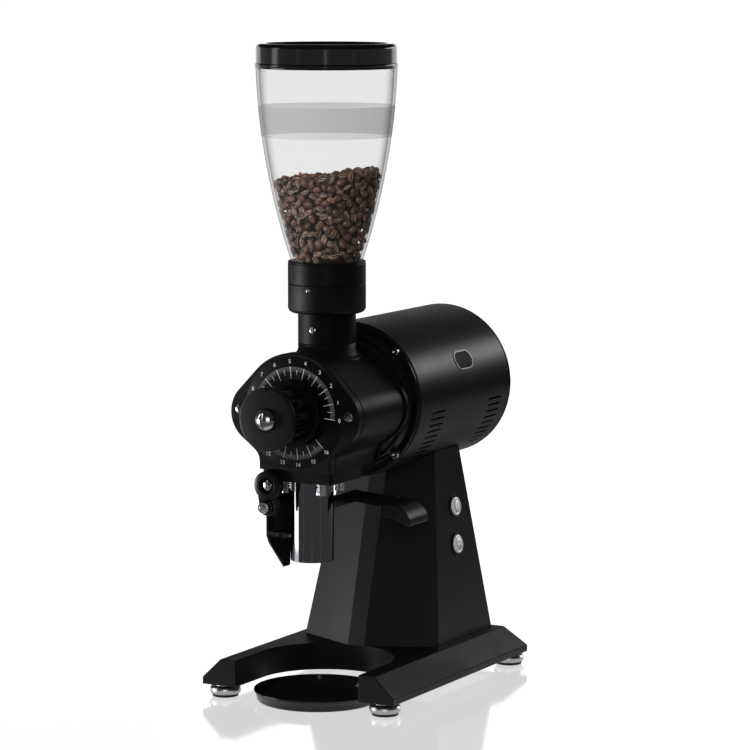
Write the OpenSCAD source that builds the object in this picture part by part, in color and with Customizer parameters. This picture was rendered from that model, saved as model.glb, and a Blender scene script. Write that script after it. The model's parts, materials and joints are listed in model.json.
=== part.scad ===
/* [Base] */
// Width of the base across its lower edge
base_w = 235; // [215:1:260]
// Width of the base across its flat top
base_top_w = 189; // [178:1:200]
// Front face of the base, measured forward from the footprint centre
base_front = 136.5; // [120:0.5:150]
// Rear face of the base, measured back from the footprint centre
base_rear = 186; // [170:1:210]
// Height of the base casting
base_h = 29.7; // [22:0.1:40]
// Width of the U-shaped bay in the front of the base
bay_w = 151; // [120:1:160]
// Height of the levelling feet
foot_h = 14; // [8:0.5:25]
// Radius of the levelling feet
foot_r = 17; // [10:0.5:22]

/* [Column] */
// Half width of the column where it meets the base
column_foot_half = 84; // [70:1:90]
// Half width of the column under the motor
column_top_half = 56; // [50:1:62]
// Height above the floor where the column walls end
column_top = 253; // [246:1:256]
// Thickness of the column walls
column_wall = 4; // [2:0.5:6]
// Radius of the push buttons
button_r = 10.5; // [8:0.5:14]
// Push button travel
button_travel = 3; // [2:0.5:4]

/* [Motor] */
// Height of the motor shaft above the floor
shaft_z = 318.2; // [300:0.1:340]
// Outer radius of the motor shell
motor_r = 85.2; // [78:0.1:95]
// Length of the motor shell
motor_len = 214; // [180:1:240]
// Wall of the motor shell
motor_wall = 3; // [2:0.5:5]
// Radius of the motor shaft
shaft_r = 12.5; // [10:0.5:15]
// Length of the plain badge on the motor shell
badge_len = 40; // [30:1:60]
// Radius of the badge's rounded ends
badge_r = 11; // [6:0.5:14]

/* [Grinding head] */
// Radius of the round part of the head
head_r = 64; // [61:0.5:72]
// Radius of the two side lobes of the head
lobe_r = 34; // [28:0.5:38]
// Distance from the shaft to a lobe's centre
lobe_x = 44; // [38:0.5:50]
// Radius of the burrs
burr_r = 49; // [40:0.5:50]
// Gap between the burrs at rest
burr_gap = 0.6; // [0.4:0.1:1.2]
// Thickness of the front cover
cover_t = 12.5; // [9:0.5:16]
// Radius of the numbered dial plate
dial_r = 60; // [56:0.5:61]

/* [Adjusting knob] */
// Radius of the front disc
knob_r = 33.5; // [28:0.5:38]
// Radius of the fluted grip
grip_r = 29; // [24:0.5:32]
// Number of flutes on the grip
grip_flutes = 10; // [6:1:14]

/* [Outlet and clamp] */
// Radius of the outlet tube
tube_r = 23.2; // [20:0.1:25]
// Height above the floor of the tube's lower end
tube_low = 155.3; // [140:0.1:180]
// Opening angle of the bag clamp
clamp_open = 12; // [6:1:14]

/* [Hopper] */
// Outer radius of the neck
neck_r = 31.1; // [28:0.1:34]
// Outer radius of the collar
collar_r = 41.8; // [39:0.1:46]
// Outer radius of the hopper at its rim
hopper_r = 76.5; // [70:0.5:85]
// Wall of the hopper
hopper_wall = 3; // [2:0.5:4]
// Height of the hopper above the collar
hopper_h = 204.7; // [170:0.1:240]
// Height of the lid
lid_h = 26.5; // [20:0.5:35]

/* [Dish] */
// Rim radius of the catch dish
dish_r = 70; // [55:0.5:72]
// Height of the catch dish
dish_h = 13; // [8:0.5:14]

/* [Hidden] */

black = [0.03, 0.03, 0.035];
chrome = [0.8, 0.8, 0.82];
steel = [0.55, 0.56, 0.58];

// clearances
running = 0.05;
slide_gap = 0.4;

// base
base_top = foot_h + base_h;
base_edge = 7.8;
base_rear_bevel = 14;
foot_x = base_w / 2 - 18.9;
foot_front_y = -base_front + 17.2;
foot_rear_y = base_rear - 9.2;
bay_r = bay_w / 2;
bay_y = -base_front + 61;

// column outline: front facet, angled facets, sides, rear
facet_half = 10;
column_front_low = -5;
column_front_top = 52.4;
facet_slope = 0.4905;
column_rear_low = 161;
column_rear_top = 132.8;

// positions along the shaft
spout_y = -101;
neck_y = -64.5;
cover_back = -127;
cover_face = cover_back - cover_t;
head_rear = -29.5;
motor_front = -12.7;
motor_rear = motor_front + motor_len;
bell_screw_r = 79.4;
chamber_r = burr_r + 8;
chamber_rear = -84;
burr_t = 12.4;
fixed_face = chamber_rear - burr_t;
moving_face = fixed_face - burr_gap;
carrier_y = moving_face - burr_t - 8.6;
thrust_t = 2.7;
bearing_w = 15;
bearing_r = shaft_r * 2 + 1;
duct_r = 19;
duct_front = chamber_rear + 2;

// head
leg_half = 43;
leg_low = 255.5;
flange_low = 243;
flange_half_y = 33.5;
outlet_r = 18;
thumb_ring = tube_r + 6.9;
thumb_x = thumb_ring * sin(48.4);
thumb_y = thumb_ring * cos(48.4);
lobe_z = -2.5;
lobe_screw_x = 66;

// neck, collar and hopper heights
neck_joint = 387;
collar_low = 419.4;
collar_joint = 450.2;
collar_top = 474.8;
gate_z = 432;
hopper_low = collar_top + slide_gap;
hopper_top = collar_top + hopper_h;
hopper_arc = 739;
hopper_spigot_r = 36;
lid_top = hopper_top + lid_h;

// knob stations, all measured forward of the dial
index_y = cover_face - 8;
grip_y = index_y - 4;
knob_y = -197.5;
knob_tip = -207.7;

// clamp
pivot_x = -31;
pivot_z = 239;
screw_z = 215.5;
hub_back = spout_y - flange_half_y - 0.5;
plate_x = -39;
plate_t = 2.5;
strap_low = 207.5;
strap_h = 13.5;
strap_t = 3;
strap_y = spout_y + tube_r + 4.8;
arm_x = 10;
arm_y = -24;
striker_z = 180;
plate_top = 227;
plate_half = 27;
plate_taper = 182;
plate_fold = 173.5;
plate_lean = 17;
plate_tip = 144;

function mix(a, b, t) = a + (b - a) * t;
function column_t(z) = (z - base_top) / (column_top - base_top);
function column_half(z) = mix(column_foot_half, column_top_half, column_t(z));
function column_front(z) = mix(column_front_low, column_front_top, column_t(z));
function column_rear(z) = mix(column_rear_low, column_rear_top, column_t(z));
function column_facet(x, z) = column_front(z) + (x - facet_half) * facet_slope;

// a point of the hopper's outside on its long arc
function hopper_out(z) = hopper_r - hopper_arc + sqrt(pow(hopper_arc, 2) - pow(lid_top + 1 - z, 2));

// a cylinder lying along the shaft, from y0 for a length
module along(y0, len, r, fn = 96)
    translate([0, y0, shaft_z]) rotate([-90, 0, 0]) cylinder(h = len, r = r, $fn = fn);

// a ring lying along the shaft
module ring_along(y0, len, r, bore)
    difference() {
        along(y0, len, r);
        along(y0 - 1, len + 2, bore);
    }

// a cylinder lying along the Y direction at any place
module peg(x, z, y0, len, r, fn = 48)
    translate([x, y0, z]) rotate([-90, 0, 0]) cylinder(h = len, r = r, $fn = fn);

// a plate cut in the XZ plane, reaching back from y0
module slab(y0, len)
    translate([0, y0 + len, 0]) rotate([90, 0, 0]) linear_extrude(len) children();

// a plate cut in the YZ plane, reaching right from x0
module side_slab(x0, len)
    translate([x0, 0, 0]) rotate([90, 0, 90]) linear_extrude(len) children();

// ---------------------------------------------------------------- base

module base_profile(drop)
    polygon([
        [-base_w / 2 + drop, foot_h], [base_w / 2 - drop, foot_h],
        [base_w / 2 - drop, foot_h + base_edge], [base_top_w / 2 - drop, base_top - drop],
        [-base_top_w / 2 + drop, base_top - drop], [-base_w / 2 + drop, foot_h + base_edge]]);

module bay(r, low, high)
    union() {
        translate([0, bay_y, low]) cylinder(h = high - low, r = r, $fn = 128);
        translate([-r, -base_front - 1, low]) cube([2 * r, bay_y + base_front + 1, high - low]);
    }

module base_frame()
    color(black) difference() {
        slab(-base_front, base_front + base_rear) base_profile(0);
        bay(bay_r, 0, base_top + 5);
        // rear bevel
        side_slab(-base_w, 2 * base_w) polygon([
            [base_rear, foot_h + base_edge], [base_rear + 5, foot_h + base_edge],
            [base_rear + 5, base_top + 5], [base_rear - base_rear_bevel, base_top + 5],
            [base_rear - base_rear_bevel, base_top]]);
        // hollow underside behind the bay, closed by the bottom plate
        translate([-column_foot_half, bay_y + bay_r + 8, foot_h - 1])
            cube([2 * column_foot_half, base_rear - 20 - bay_y - bay_r - 8, base_h - 6]);
        for (x = [-foot_x, foot_x], y = [foot_front_y, foot_rear_y])
            translate([x, y, foot_h - 1]) cylinder(h = 13, r = 4, $fn = 32);
    }

module base_bottom_plate()
    color(steel) translate([-column_foot_half + 0.5, bay_y + bay_r + 8.5, foot_h])
        cube([2 * column_foot_half - 1, base_rear - 21 - bay_y - bay_r - 8, 2]);

module foot(x, y)
    translate([x, y, 0]) {
        rotate_extrude($fn = 64) polygon([
            [0, 0], [foot_r - 2.5, 0], [foot_r - 1.2, 1.2], [foot_r - 1.2, 3.2], [foot_r, 4.2],
            [foot_r, 8.6], [foot_r - 1, 9.8], [foot_r - 4, 10.6], [foot_r - 5, 11.4],
            [foot_r - 5, foot_h], [0, foot_h]]);
        translate([0, 0, foot_h - 0.5]) cylinder(h = 11, r = 3.9, $fn = 32);
    }

module levelling_feet()
    color(chrome) for (x = [-foot_x, foot_x], y = [foot_front_y, foot_rear_y])
        foot(x, y);

module catch_dish()
    color(black) translate([0, bay_y - 13, 0]) rotate_extrude($fn = 128) polygon([
        [0, 0], [dish_r - 4, 0], [dish_r, dish_h], [dish_r - 2.5, dish_h],
        [dish_r - 6, 2.5], [0, 2.5]]);

// ---------------------------------------------------------------- column

// the block's rear face is let in by its own amount
module column_block(inset, rear_inset, low, high)
    polyhedron(
        points = [for (z = [low, high]) each [
            [facet_half, column_facet(facet_half, z) + inset * 1.1, z],
            [column_half(z) - inset, column_facet(column_half(z) - inset, z) + inset * 1.1, z],
            [column_half(z) - inset, column_rear(z) - rear_inset, z],
            [-column_half(z) + inset, column_rear(z) - rear_inset, z],
            [-column_half(z) + inset, column_facet(column_half(z) - inset, z) + inset * 1.1, z],
            [-facet_half, column_facet(facet_half, z) + inset * 1.1, z]]],
        faces = [[0, 1, 2, 3, 4, 5], [11, 10, 9, 8, 7, 6],
            for (i = [0:5]) [i, i + 6, (i + 1) % 6 + 6, (i + 1) % 6]]);

// the two buttons lie on the leaning right-hand side
start_at = [column_half(188), 107.6, 188];
stop_at = [column_half(146.6), 102.2, 146.6];
side_lean = atan((column_foot_half - column_top_half) / (column_top - base_top));

module on_side(at)
    translate(at) rotate([0, 90 - side_lean, 0]) children();

module motor_saddle()
    along(motor_front, motor_len, motor_r + running, 160);

// everything behind the rear wall's inner face
module rear_wall_space()
    side_slab(-base_w, 2 * base_w) polygon([
        [column_rear(base_top - 20) - column_wall, base_top - 20], [column_rear_low + 60, base_top - 20],
        [column_rear_low + 60, column_top + 20], [column_rear(column_top + 20) - column_wall, column_top + 20]]);

module column_shell()
    color(black) difference() {
        column_block(0, 0, base_top, column_top);
        column_block(column_wall, -6, base_top - 1, column_top + 1);
        motor_saddle();
        for (at = [start_at, stop_at])
            on_side(at) translate([0, 0, -column_wall * 3]) cylinder(h = column_wall * 6, r = button_r + 2, $fn = 48);
    }

module column_rear_cover()
    color(black) difference() {
        intersection() {
            column_block(column_wall + running, 0, base_top, column_top);
            rear_wall_space();
        }
        motor_saddle();
        peg(0, base_top + 22, column_rear_low - 20, 40, 8);
    }

module cable_inlet()
    color(black) difference() {
        union() {
            peg(0, base_top + 22, column_rear_low - 14, 22, 7.9);
            peg(0, base_top + 22, column_rear(base_top + 10), 6, 12, 6);
            peg(0, base_top + 22, column_rear_low + 2, 16, 8);
        }
        peg(0, base_top + 22, column_rear_low - 20, 60, 4);
    }

module button_bezels()
    color(black) for (at = [start_at, stop_at])
        on_side(at) difference() {
            union() {
                translate([0, 0, -10]) cylinder(h = 10, r = button_r + 2 - running, $fn = 48);
                cylinder(h = 1.4, r = button_r + 3, $fn = 48);
            }
            translate([0, 0, -11]) cylinder(h = 20, r = button_r + slide_gap, $fn = 48);
        }

module push_button(at)
    color(chrome) on_side(at) {
        translate([0, 0, -7]) cylinder(h = 9.2, r = button_r, $fn = 48);
        translate([0, 0, 2.2]) cylinder(h = 1.4, r = button_r - 2, $fn = 48);
    }

module start_button() push_button(start_at);
module stop_button() push_button(stop_at);

module switch_bodies()
    color("dimgray") for (at = [start_at, stop_at])
        on_side(at) translate([-11, -14, -38]) cube([22, 28, 38 - 10 - button_travel - 0.5]);

module run_capacitor()
    color("lightgray") translate([-20, 75, base_top + 6]) cylinder(h = 92, r = 21, $fn = 64);

module contactor()
    color("gray") translate([-22, 118, base_top + 6]) {
        cube([44, 26, 60]);
        translate([4, 3, 60]) cube([36, 20, 8]);
    }

// ---------------------------------------------------------------- motor

slot_angles = [for (i = [0:8]) -9.2 - i * 5];
module vent_row(y0, len)
    for (a = slot_angles, side = [0, 1])
        mirror([side, 0, 0]) translate([0, y0, shaft_z]) rotate([0, -a, 0])
            translate([motor_r - motor_wall - 4, 0, -1]) cube([motor_wall + 8, len, 2]);

module motor_shell()
    color(black) difference() {
        along(motor_front, motor_len, motor_r, 160);
        along(motor_front - 1, motor_len + 2, motor_r - motor_wall, 160);
        vent_row(motor_front + 28.2, 31);
        vent_row(motor_rear - 48.8, 30);
    }

module motor_end_cap()
    color(black) translate([0, motor_rear, shaft_z]) rotate([-90, 0, 0]) rotate_extrude($fn = 160)
        polygon(concat(
            [[0, 0.6 - 3], [motor_r - 14, 0.6 - 3], [motor_r - 14, -6], [motor_r - motor_wall, -6],
             [motor_r - motor_wall, 0.6], [motor_r, 0.6]],
            [for (a = [0:15:90]) [motor_r - 4 + 4 * cos(a), 2.2 + 4 * sin(a)]],
            [[motor_r - 12, 6.2], [motor_r - 16, 3.2], [0, 3.2]]));

module motor_front_bell()
    color(black) difference() {
        union() {
            along(motor_front - 4.3, 4.3, motor_r - 1.2);
            along(motor_front, 8, motor_r - motor_wall);
            along(head_rear, motor_front - head_rear, 62);
            for (a = [45, 135, 225, 315])
                peg(bell_screw_r * cos(a), shaft_z + bell_screw_r * sin(a), motor_front - 6.5, 6.5, 6);
        }
        along(head_rear - 1, 40, shaft_r + 3);
        for (a = [45, 135, 225, 315])
            peg(bell_screw_r * cos(a), shaft_z + bell_screw_r * sin(a), motor_front - 8, 12, 2.5, 24);
    }

module bell_screws()
    color(chrome) for (a = [45, 135, 225, 315]) {
        peg(bell_screw_r * cos(a), shaft_z + bell_screw_r * sin(a), motor_front - 9.5, 3, 4.2, 32);
        peg(bell_screw_r * cos(a), shaft_z + bell_screw_r * sin(a), motor_front - 7, 10, 2.4, 24);
    }

stack_y = 20;
stack_len = 90;
module stator_core()
    color(steel) difference() {
        along(stack_y, stack_len, motor_r - motor_wall);
        along(stack_y - 1, stack_len + 2, 45.3);
    }

module stator_windings()
    color("peru") for (y = [stack_y - 18, stack_y + stack_len])
        ring_along(y, 18, 74, 50);

module rear_bearing_shield()
    color("silver") difference() {
        union() {
            along(stack_y + stack_len + 22, 6, motor_r - motor_wall);
            along(stack_y + stack_len + 22, bearing_w, bearing_r + 8);
        }
        along(stack_y + stack_len + 21, bearing_w + 2, bearing_r);
    }

// a bearing with its two rings and the shields let in between them
module ball_bearing(y0)
    color(steel) translate([0, y0, shaft_z]) rotate([-90, 0, 0]) rotate_extrude($fn = 96)
        polygon([
            [shaft_r + running, 0], [shaft_r + 4, 0], [shaft_r + 4, 0.8], [bearing_r - 4, 0.8],
            [bearing_r - 4, 0], [bearing_r, 0], [bearing_r, bearing_w], [bearing_r - 4, bearing_w],
            [bearing_r - 4, bearing_w - 0.8], [shaft_r + 4, bearing_w - 0.8],
            [shaft_r + 4, bearing_w], [shaft_r + running, bearing_w]]);

module front_bearing() ball_bearing(head_rear - bearing_w);
module rear_bearing() ball_bearing(stack_y + stack_len + 22);

module motor_badge()
    color("silver") difference() {
        intersection() {
            along(20, 120, motor_r + 0.9);
            translate([0, motor_front + motor_len * 0.536, shaft_z]) rotate([0, -25, 0]) {
                for (y = [-badge_len / 2 + badge_r, badge_len / 2 - badge_r])
                    translate([0, y, 0]) rotate([0, 90, 0]) cylinder(h = 150, r = badge_r, $fn = 64);
                translate([0, badge_r - badge_len / 2, -badge_r])
                    cube([150, badge_len - 2 * badge_r, 2 * badge_r]);
            }
        }
        along(19, 122, motor_r + 0.02);
    }

// ---------------------------------------------------------------- turning parts

module motor_shaft()
    color(steel) along(carrier_y, 180 - carrier_y, shaft_r);

module rotor_core()
    color("silver") ring_along(stack_y, stack_len, 44.8, shaft_r + running);

fan_y = stack_y + stack_len + 46;
module cooling_fan()
    color("dimgray") {
        ring_along(fan_y, 20, 20, shaft_r + running);
        for (a = [0:45:315])
            translate([0, fan_y, shaft_z]) rotate([0, a, 0]) translate([19, 0, -1]) cube([50, 18, 2]);
        ring_along(fan_y + 16, 2, 72, 19.5);
    }

module burr_carrier()
    color(steel) difference() {
        union() {
            along(carrier_y + 3, moving_face - burr_t - carrier_y - 3, burr_r + 1);
            along(carrier_y, 4, 24);
        }
        along(carrier_y - 1, 20, shaft_r + running);
    }

// the ring of teeth on a burr face: a flat rim, then a cone down to the eye
module burr_ring(eye)
    difference() {
        cylinder(h = burr_t, r = burr_r, $fn = 96);
        translate([0, 0, -1]) cylinder(h = burr_t + 2, r = eye, $fn = 64);
        translate([0, 0, burr_t - 7]) cylinder(h = 7.01, r1 = eye, r2 = burr_r - 12, $fn = 64);
        for (a = [0:120:240])
            rotate(a + 30) translate([burr_r - 8, 0, -1]) cylinder(h = burr_t + 2, r = 2.6, $fn = 24);
    }

module fixed_burr()
    color(steel) translate([0, chamber_rear, shaft_z]) rotate([90, 0, 0]) burr_ring(duct_r);

module rotating_burr()
    color(steel) translate([0, moving_face - burr_t, shaft_z]) rotate([-90, 0, 0]) burr_ring(duct_r);

module feed_auger()
    color(steel) difference() {
        union() {
            along(duct_front + 1, head_rear - bearing_w - duct_front - 4, shaft_r + 2);
            for (i = [0:3])
                translate([0, duct_front + 2 + i * 8, shaft_z]) rotate([-90 + 12, 0, 0])
                    cylinder(h = 2.4, r = duct_r - 2.2, $fn = 64);
        }
        along(duct_front - 10, 80, shaft_r + running);
    }

// ---------------------------------------------------------------- grinding head

// tangent points between the round head and a side lobe, for a given growth
lobe_reach = sqrt(lobe_x * lobe_x + lobe_z * lobe_z);
lobe_fall = atan2(lobe_z, lobe_x);
tangent_turn = acos((head_r - lobe_r) / lobe_reach);
function on_circle(x, z, r, a) = [x + r * cos(a), shaft_z + z + r * sin(a)];

module head_outline(grow)
    difference() {
        head_form(grow);
        translate([-100, leg_low - grow - 100]) square([200, 100]);
    }

module head_form(grow)
    union() {
        translate([0, shaft_z]) circle(r = head_r + grow, $fn = 128);
        for (side = [0, 1]) mirror([side, 0]) {
            translate([lobe_x, shaft_z + lobe_z]) circle(r = lobe_r + grow, $fn = 96);
            polygon([
                [0, shaft_z], on_circle(0, 0, head_r + grow, lobe_fall + tangent_turn),
                on_circle(lobe_x, lobe_z, lobe_r + grow, lobe_fall + tangent_turn),
                on_circle(lobe_x, lobe_z, lobe_r + grow, lobe_fall - tangent_turn),
                on_circle(0, 0, head_r + grow, lobe_fall - tangent_turn)]);
        }
        translate([-leg_half - grow, leg_low - grow]) square([2 * (leg_half + grow), 40]);
    }

module grinder_housing()
    color(black) difference() {
        union() {
            slab(cover_back, head_rear - cover_back) head_outline(-0.8);
            slab(cover_back, 4) head_outline(0);
            slab(head_rear - 6, 6) head_outline(1.6);
            translate([0, neck_y - 3.5, shaft_z]) cylinder(h = neck_joint - shaft_z, r = neck_r, $fn = 96);
        }
        along(cover_back - 1, chamber_rear - cover_back + 1, chamber_r);
        along(chamber_rear - 1, head_rear - bearing_w - 1.5 - chamber_rear + 1, duct_r);
        along(head_rear - bearing_w - 2, 4, shaft_r + 1);
        along(head_rear - bearing_w, bearing_w + 1, bearing_r);
        translate([0, neck_y, shaft_z]) cylinder(h = neck_joint - shaft_z + 1, r = duct_r - 2, $fn = 64);
        translate([0, neck_y - 3.5, neck_joint - 14]) cylinder(h = 15, r = 24, $fn = 64);
        translate([0, spout_y, leg_low - 5]) cylinder(h = shaft_z - leg_low, r = outlet_r, $fn = 64);
        for (x = [-lobe_screw_x, lobe_screw_x])
            peg(x, shaft_z + 0.8, cover_back - 1, 16, 3, 24);
    }

module front_cover()
    color(black) difference() {
        union() {
            slab(cover_face + 1.2, cover_t - 1.2) head_outline(0);
            slab(cover_face, 2) head_outline(-1.2);
        }
        along(cover_face - 1, cover_t + 2, 10 + running, 64);
        along(cover_face - 1, 2, dial_r + 0.1);
        along(cover_back - 4, 5, 20);
        for (x = [-lobe_screw_x, lobe_screw_x])
            peg(x, shaft_z + 0.8, cover_face - 1, cover_t + 2, 3, 24);
    }

module cover_screws()
    color(chrome) for (x = [-lobe_screw_x, lobe_screw_x]) {
        peg(x, shaft_z + 0.8, cover_face - 2.6, 2.6, 5.7, 48);
        peg(x, shaft_z + 0.8, cover_face - 0.5, cover_t + 12, 2.9, 24);
    }

module dial_plate()
    color(black) difference() {
        along(cover_face - 0.2, 1.2, dial_r);
        along(cover_face - 1, 4, 10 + running, 64);
    }

module outlet_flange()
    color(black) difference() {
        union() {
            translate([-leg_half + 1, spout_y - flange_half_y, flange_low])
                cube([2 * leg_half - 2, 2 * flange_half_y, leg_low - flange_low]);
            peg(pivot_x, pivot_z, spout_y - flange_half_y, 6.5, 9);
        }
        translate([0, spout_y, flange_low - 1]) cylinder(h = 40, r = outlet_r, $fn = 64);
        translate([0, spout_y, flange_low - 1]) cylinder(h = 9, r = tube_r, $fn = 96);
        for (x = [-thumb_x, thumb_x], y = [-thumb_y, thumb_y])
            translate([x, spout_y + y, flange_low - 1]) cylinder(h = 12, r = 2.6, $fn = 24);
        peg(pivot_x, pivot_z, spout_y - flange_half_y - 1, 9, 4);
    }

module outlet_tube()
    color(steel) translate([0, spout_y, tube_low]) difference() {
        cylinder(h = flange_low + 8 - tube_low, r = tube_r, $fn = 96);
        translate([0, 0, -1]) cylinder(h = 120, r = tube_r - 1.7, $fn = 96);
    }

module outlet_thumb_screws()
    color(chrome) for (x = [-thumb_x, thumb_x], y = [-thumb_y, thumb_y])
        translate([x, spout_y + y, 0]) {
            translate([0, 0, flange_low - 11.5]) cylinder(h = 3, r = 5.6, $fn = 32);
            translate([0, 0, flange_low - 8.5]) cylinder(h = 8.5, r = 5, $fn = 12);
            translate([0, 0, flange_low - 1]) cylinder(h = 11, r = 2.5, $fn = 24);
        }

// ---------------------------------------------------------------- adjusting knob

module thrust_bearing()
    color(steel) for (y = [carrier_y - thrust_t, carrier_y - 0.9])
        ring_along(y, 0.9, 10.5, 4);

module adjusting_spindle()
    color(steel) along(knob_y + 3, carrier_y - thrust_t - knob_y - 3, 10, 64);

module index_wheel()
    color(black) difference() {
        union() {
            along(index_y, 5, 34.5);
            along(index_y + 4, 2, 22);
        }
        along(index_y - 1, 12, 10 + running, 64);
        for (a = [0:12:348])
            peg(35.6 * cos(a), shaft_z + 35.6 * sin(a), index_y - 1, 5, 1.8, 16);
    }

module fluted_grip()
    color(black) difference() {
        along(knob_y + 5, index_y - knob_y - 5, grip_r);
        along(knob_y, 60, 10 + running, 64);
        for (i = [0:grip_flutes - 1])
            let (a = i * 360 / grip_flutes)
                peg((grip_r + 3.2) * cos(a), shaft_z + (grip_r + 3.2) * sin(a), knob_y + 9, 60, 5.6, 24);
    }

module knob_disc()
    color(black) difference() {
        union() {
            along(knob_y, 5, knob_r - 1);
            along(knob_y + 1, 3, knob_r);
        }
        along(knob_y - 1, 3, 8);
        along(knob_y + 3, 4, 10 + running, 64);
    }

module dome_nut()
    color(chrome) union() {
        translate([0, knob_y - 0.2, shaft_z]) rotate([90, 0, 0]) rotate_extrude($fn = 64)
            polygon(concat([[0, 0]], [for (a = [0:10:90]) [12 * cos(a), (knob_y - knob_tip - 0.2) * sin(a)]]));
        along(knob_y - 1, 3, 7.9, 48);
    }

module pointer()
    color("gray") translate([0, index_y + 5, shaft_z]) rotate([0, -75, 0])
        translate([30, 0, -0.8]) cube([14, 1.2, 1.6]);

// ---------------------------------------------------------------- bag clamp

module clamp_pivot_bolt()
    color(chrome) {
        peg(pivot_x, pivot_z, hub_back - 9, 4.6, 6);
        peg(pivot_x, pivot_z, hub_back - 5, 10, 4 - running);
    }

// a compression spring between the plate's upper edge and the outlet flange
module clamp_spring()
    color(steel) for (i = [0:5])
        translate([plate_x, strap_y - 9, plate_top + 1 + i * (flange_low - plate_top - 2) / 5])
            rotate_extrude($fn = 32) translate([2.9, 0]) circle(r = 0.7, $fn = 16);

module clamp_hub()
    color(black) difference() {
        union() {
            peg(pivot_x, pivot_z, hub_back - 10, 10, 15.7, 64);
            slab(hub_back - 5, 5) polygon([
                [plate_x - 6.5, 232], [plate_x - plate_t, 209], [plate_x + 2, 206],
                [pivot_x + 4, 206], [pivot_x + 9, 213], [pivot_x + 12, 230]]);
        }
        peg(pivot_x, pivot_z, hub_back - 11, 7, 9);
        peg(pivot_x, pivot_z, hub_back - 11, 12, 4);
        peg(pivot_x - 2.5, screw_z, hub_back - 6, 8, 2.6, 24);
    }

module clamp_thumb_screw()
    color(chrome) {
        peg(pivot_x - 2.5, screw_z, hub_back - 7, 2, 7.2, 48);
        peg(pivot_x - 2.5, screw_z, hub_back - 14, 7, 6.4, 12);
        peg(pivot_x - 2.5, screw_z, hub_back - 8, 9, 2.5, 24);
    }

// upper part upright, lower part leaning in under the tube and tapering to a blunt tip
function plate_reach(z) = mix(6, plate_half, (z - plate_tip) / (plate_taper - plate_tip));
module clamp_plate()
    color(black) difference() {
        union() {
            side_slab(plate_x - plate_t, plate_t) polygon([
                [hub_back, 209], [hub_back, plate_top], [strap_y, plate_top], [strap_y, plate_taper],
                [spout_y + plate_reach(plate_fold), plate_fold],
                [spout_y - plate_reach(plate_fold), plate_fold],
                [spout_y - plate_half, plate_taper], [spout_y - plate_half, 209]]);
            translate([plate_x - plate_t, 0, plate_fold]) rotate([0, -plate_lean, 0])
                translate([plate_t - plate_x, 0, -plate_fold])
                side_slab(plate_x - plate_t, plate_t) polygon([
                    [spout_y - plate_reach(plate_fold), plate_fold + 0.7],
                    [spout_y + plate_reach(plate_fold), plate_fold + 0.7],
                    [spout_y + 6, plate_tip], [spout_y - 6, plate_tip]]);
        }
        translate([plate_x - 5, spout_y, striker_z]) rotate([0, 90, 0]) cylinder(h = 8, r = 2.5, $fn = 24);
    }

module clamp_strap()
    color(black) union() {
        translate([plate_x - plate_t, strap_y, strap_low])
            cube([arm_x - plate_x + plate_t, strap_t, strap_h]);
        translate([arm_x - strap_t, strap_y, strap_low]) cube([strap_t, arm_y - strap_y + strap_t, strap_h]);
        slab(arm_y, strap_t) polygon([
            [arm_x - strap_t, strap_low], [62, strap_low - 4.5], [62, strap_low + strap_h - 4.5],
            [arm_x, strap_low + strap_h], [arm_x - strap_t, strap_low + strap_h]]);
    }

module side_paddle()
    color(black) slab(arm_y - 40, 40 + strap_t) polygon(concat(
        [[62, 202.5], [66, 202], [82, 199], [96, 192.6], [98.5, 194.6]],
        [for (a = [20:14:90]) [76 + 24 * sin(90 - a), 191 + 24.5 * sin(a)]],
        [[62, 216.5]]));

module striker_stud()
    color(chrome) translate([0, spout_y, striker_z]) rotate([0, 90, 0]) {
        translate([0, 0, plate_x - 8]) cylinder(h = 17, r = 2.4, $fn = 24);
        translate([0, 0, plate_x]) cylinder(h = 5.5, r = 4.4, $fn = 6);
        translate([0, 0, plate_x + 5.5]) cylinder(h = -tube_r - 0.6 - plate_x - 5.5, r = 3.8, $fn = 32);
    }

// ---------------------------------------------------------------- neck, collar and hopper

module at_neck(z)
    translate([0, neck_y - 3.5, z]) children();

module neck_adapter()
    color(black) difference() {
        union() {
            at_neck(neck_joint) cylinder(h = collar_low - neck_joint, r = neck_r, $fn = 96);
            at_neck(neck_joint - 10) cylinder(h = 12, r = 24, $fn = 64);
        }
        at_neck(neck_joint - 11) cylinder(h = 60, r = 21, $fn = 64);
    }

module neck_screws()
    color(chrome) {
        peg(0, 402.3, neck_y - 3.5 - neck_r - 1.6, 9, 4.2, 48);
        peg(0, 445.6, neck_y - 3.5 - collar_r - 0.6, 4, 2.2, 32);
    }

module collar_sleeve()
    color(black) at_neck(0) rotate_extrude($fn = 128) polygon([
        [21, collar_low], [collar_r - 5, collar_low], [collar_r - 1.5, collar_low + 1.5],
        [collar_r, collar_low + 5], [collar_r, collar_joint], [hopper_spigot_r + 1, collar_joint],
        [hopper_spigot_r + 1, gate_z], [21, gate_z]]);

// two openings a quarter turn wide, so a quarter turn closes them
module gate(z, r)
    at_neck(z) difference() {
        cylinder(h = 2.4, r = r, $fn = 96);
        for (a = [0, 180]) rotate(a) intersection() {
            translate([0, 0, -1]) cylinder(h = 5, r = 20.5, $fn = 64);
            rotate(-42) translate([3, 3, -1]) cube([40, 40, 5]);
            rotate(-48) translate([3, 3, -1]) cube([40, 40, 5]);
        }
    }

module gate_disc()
    color(steel) gate(gate_z + running, hopper_spigot_r + 1 - running);

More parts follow.
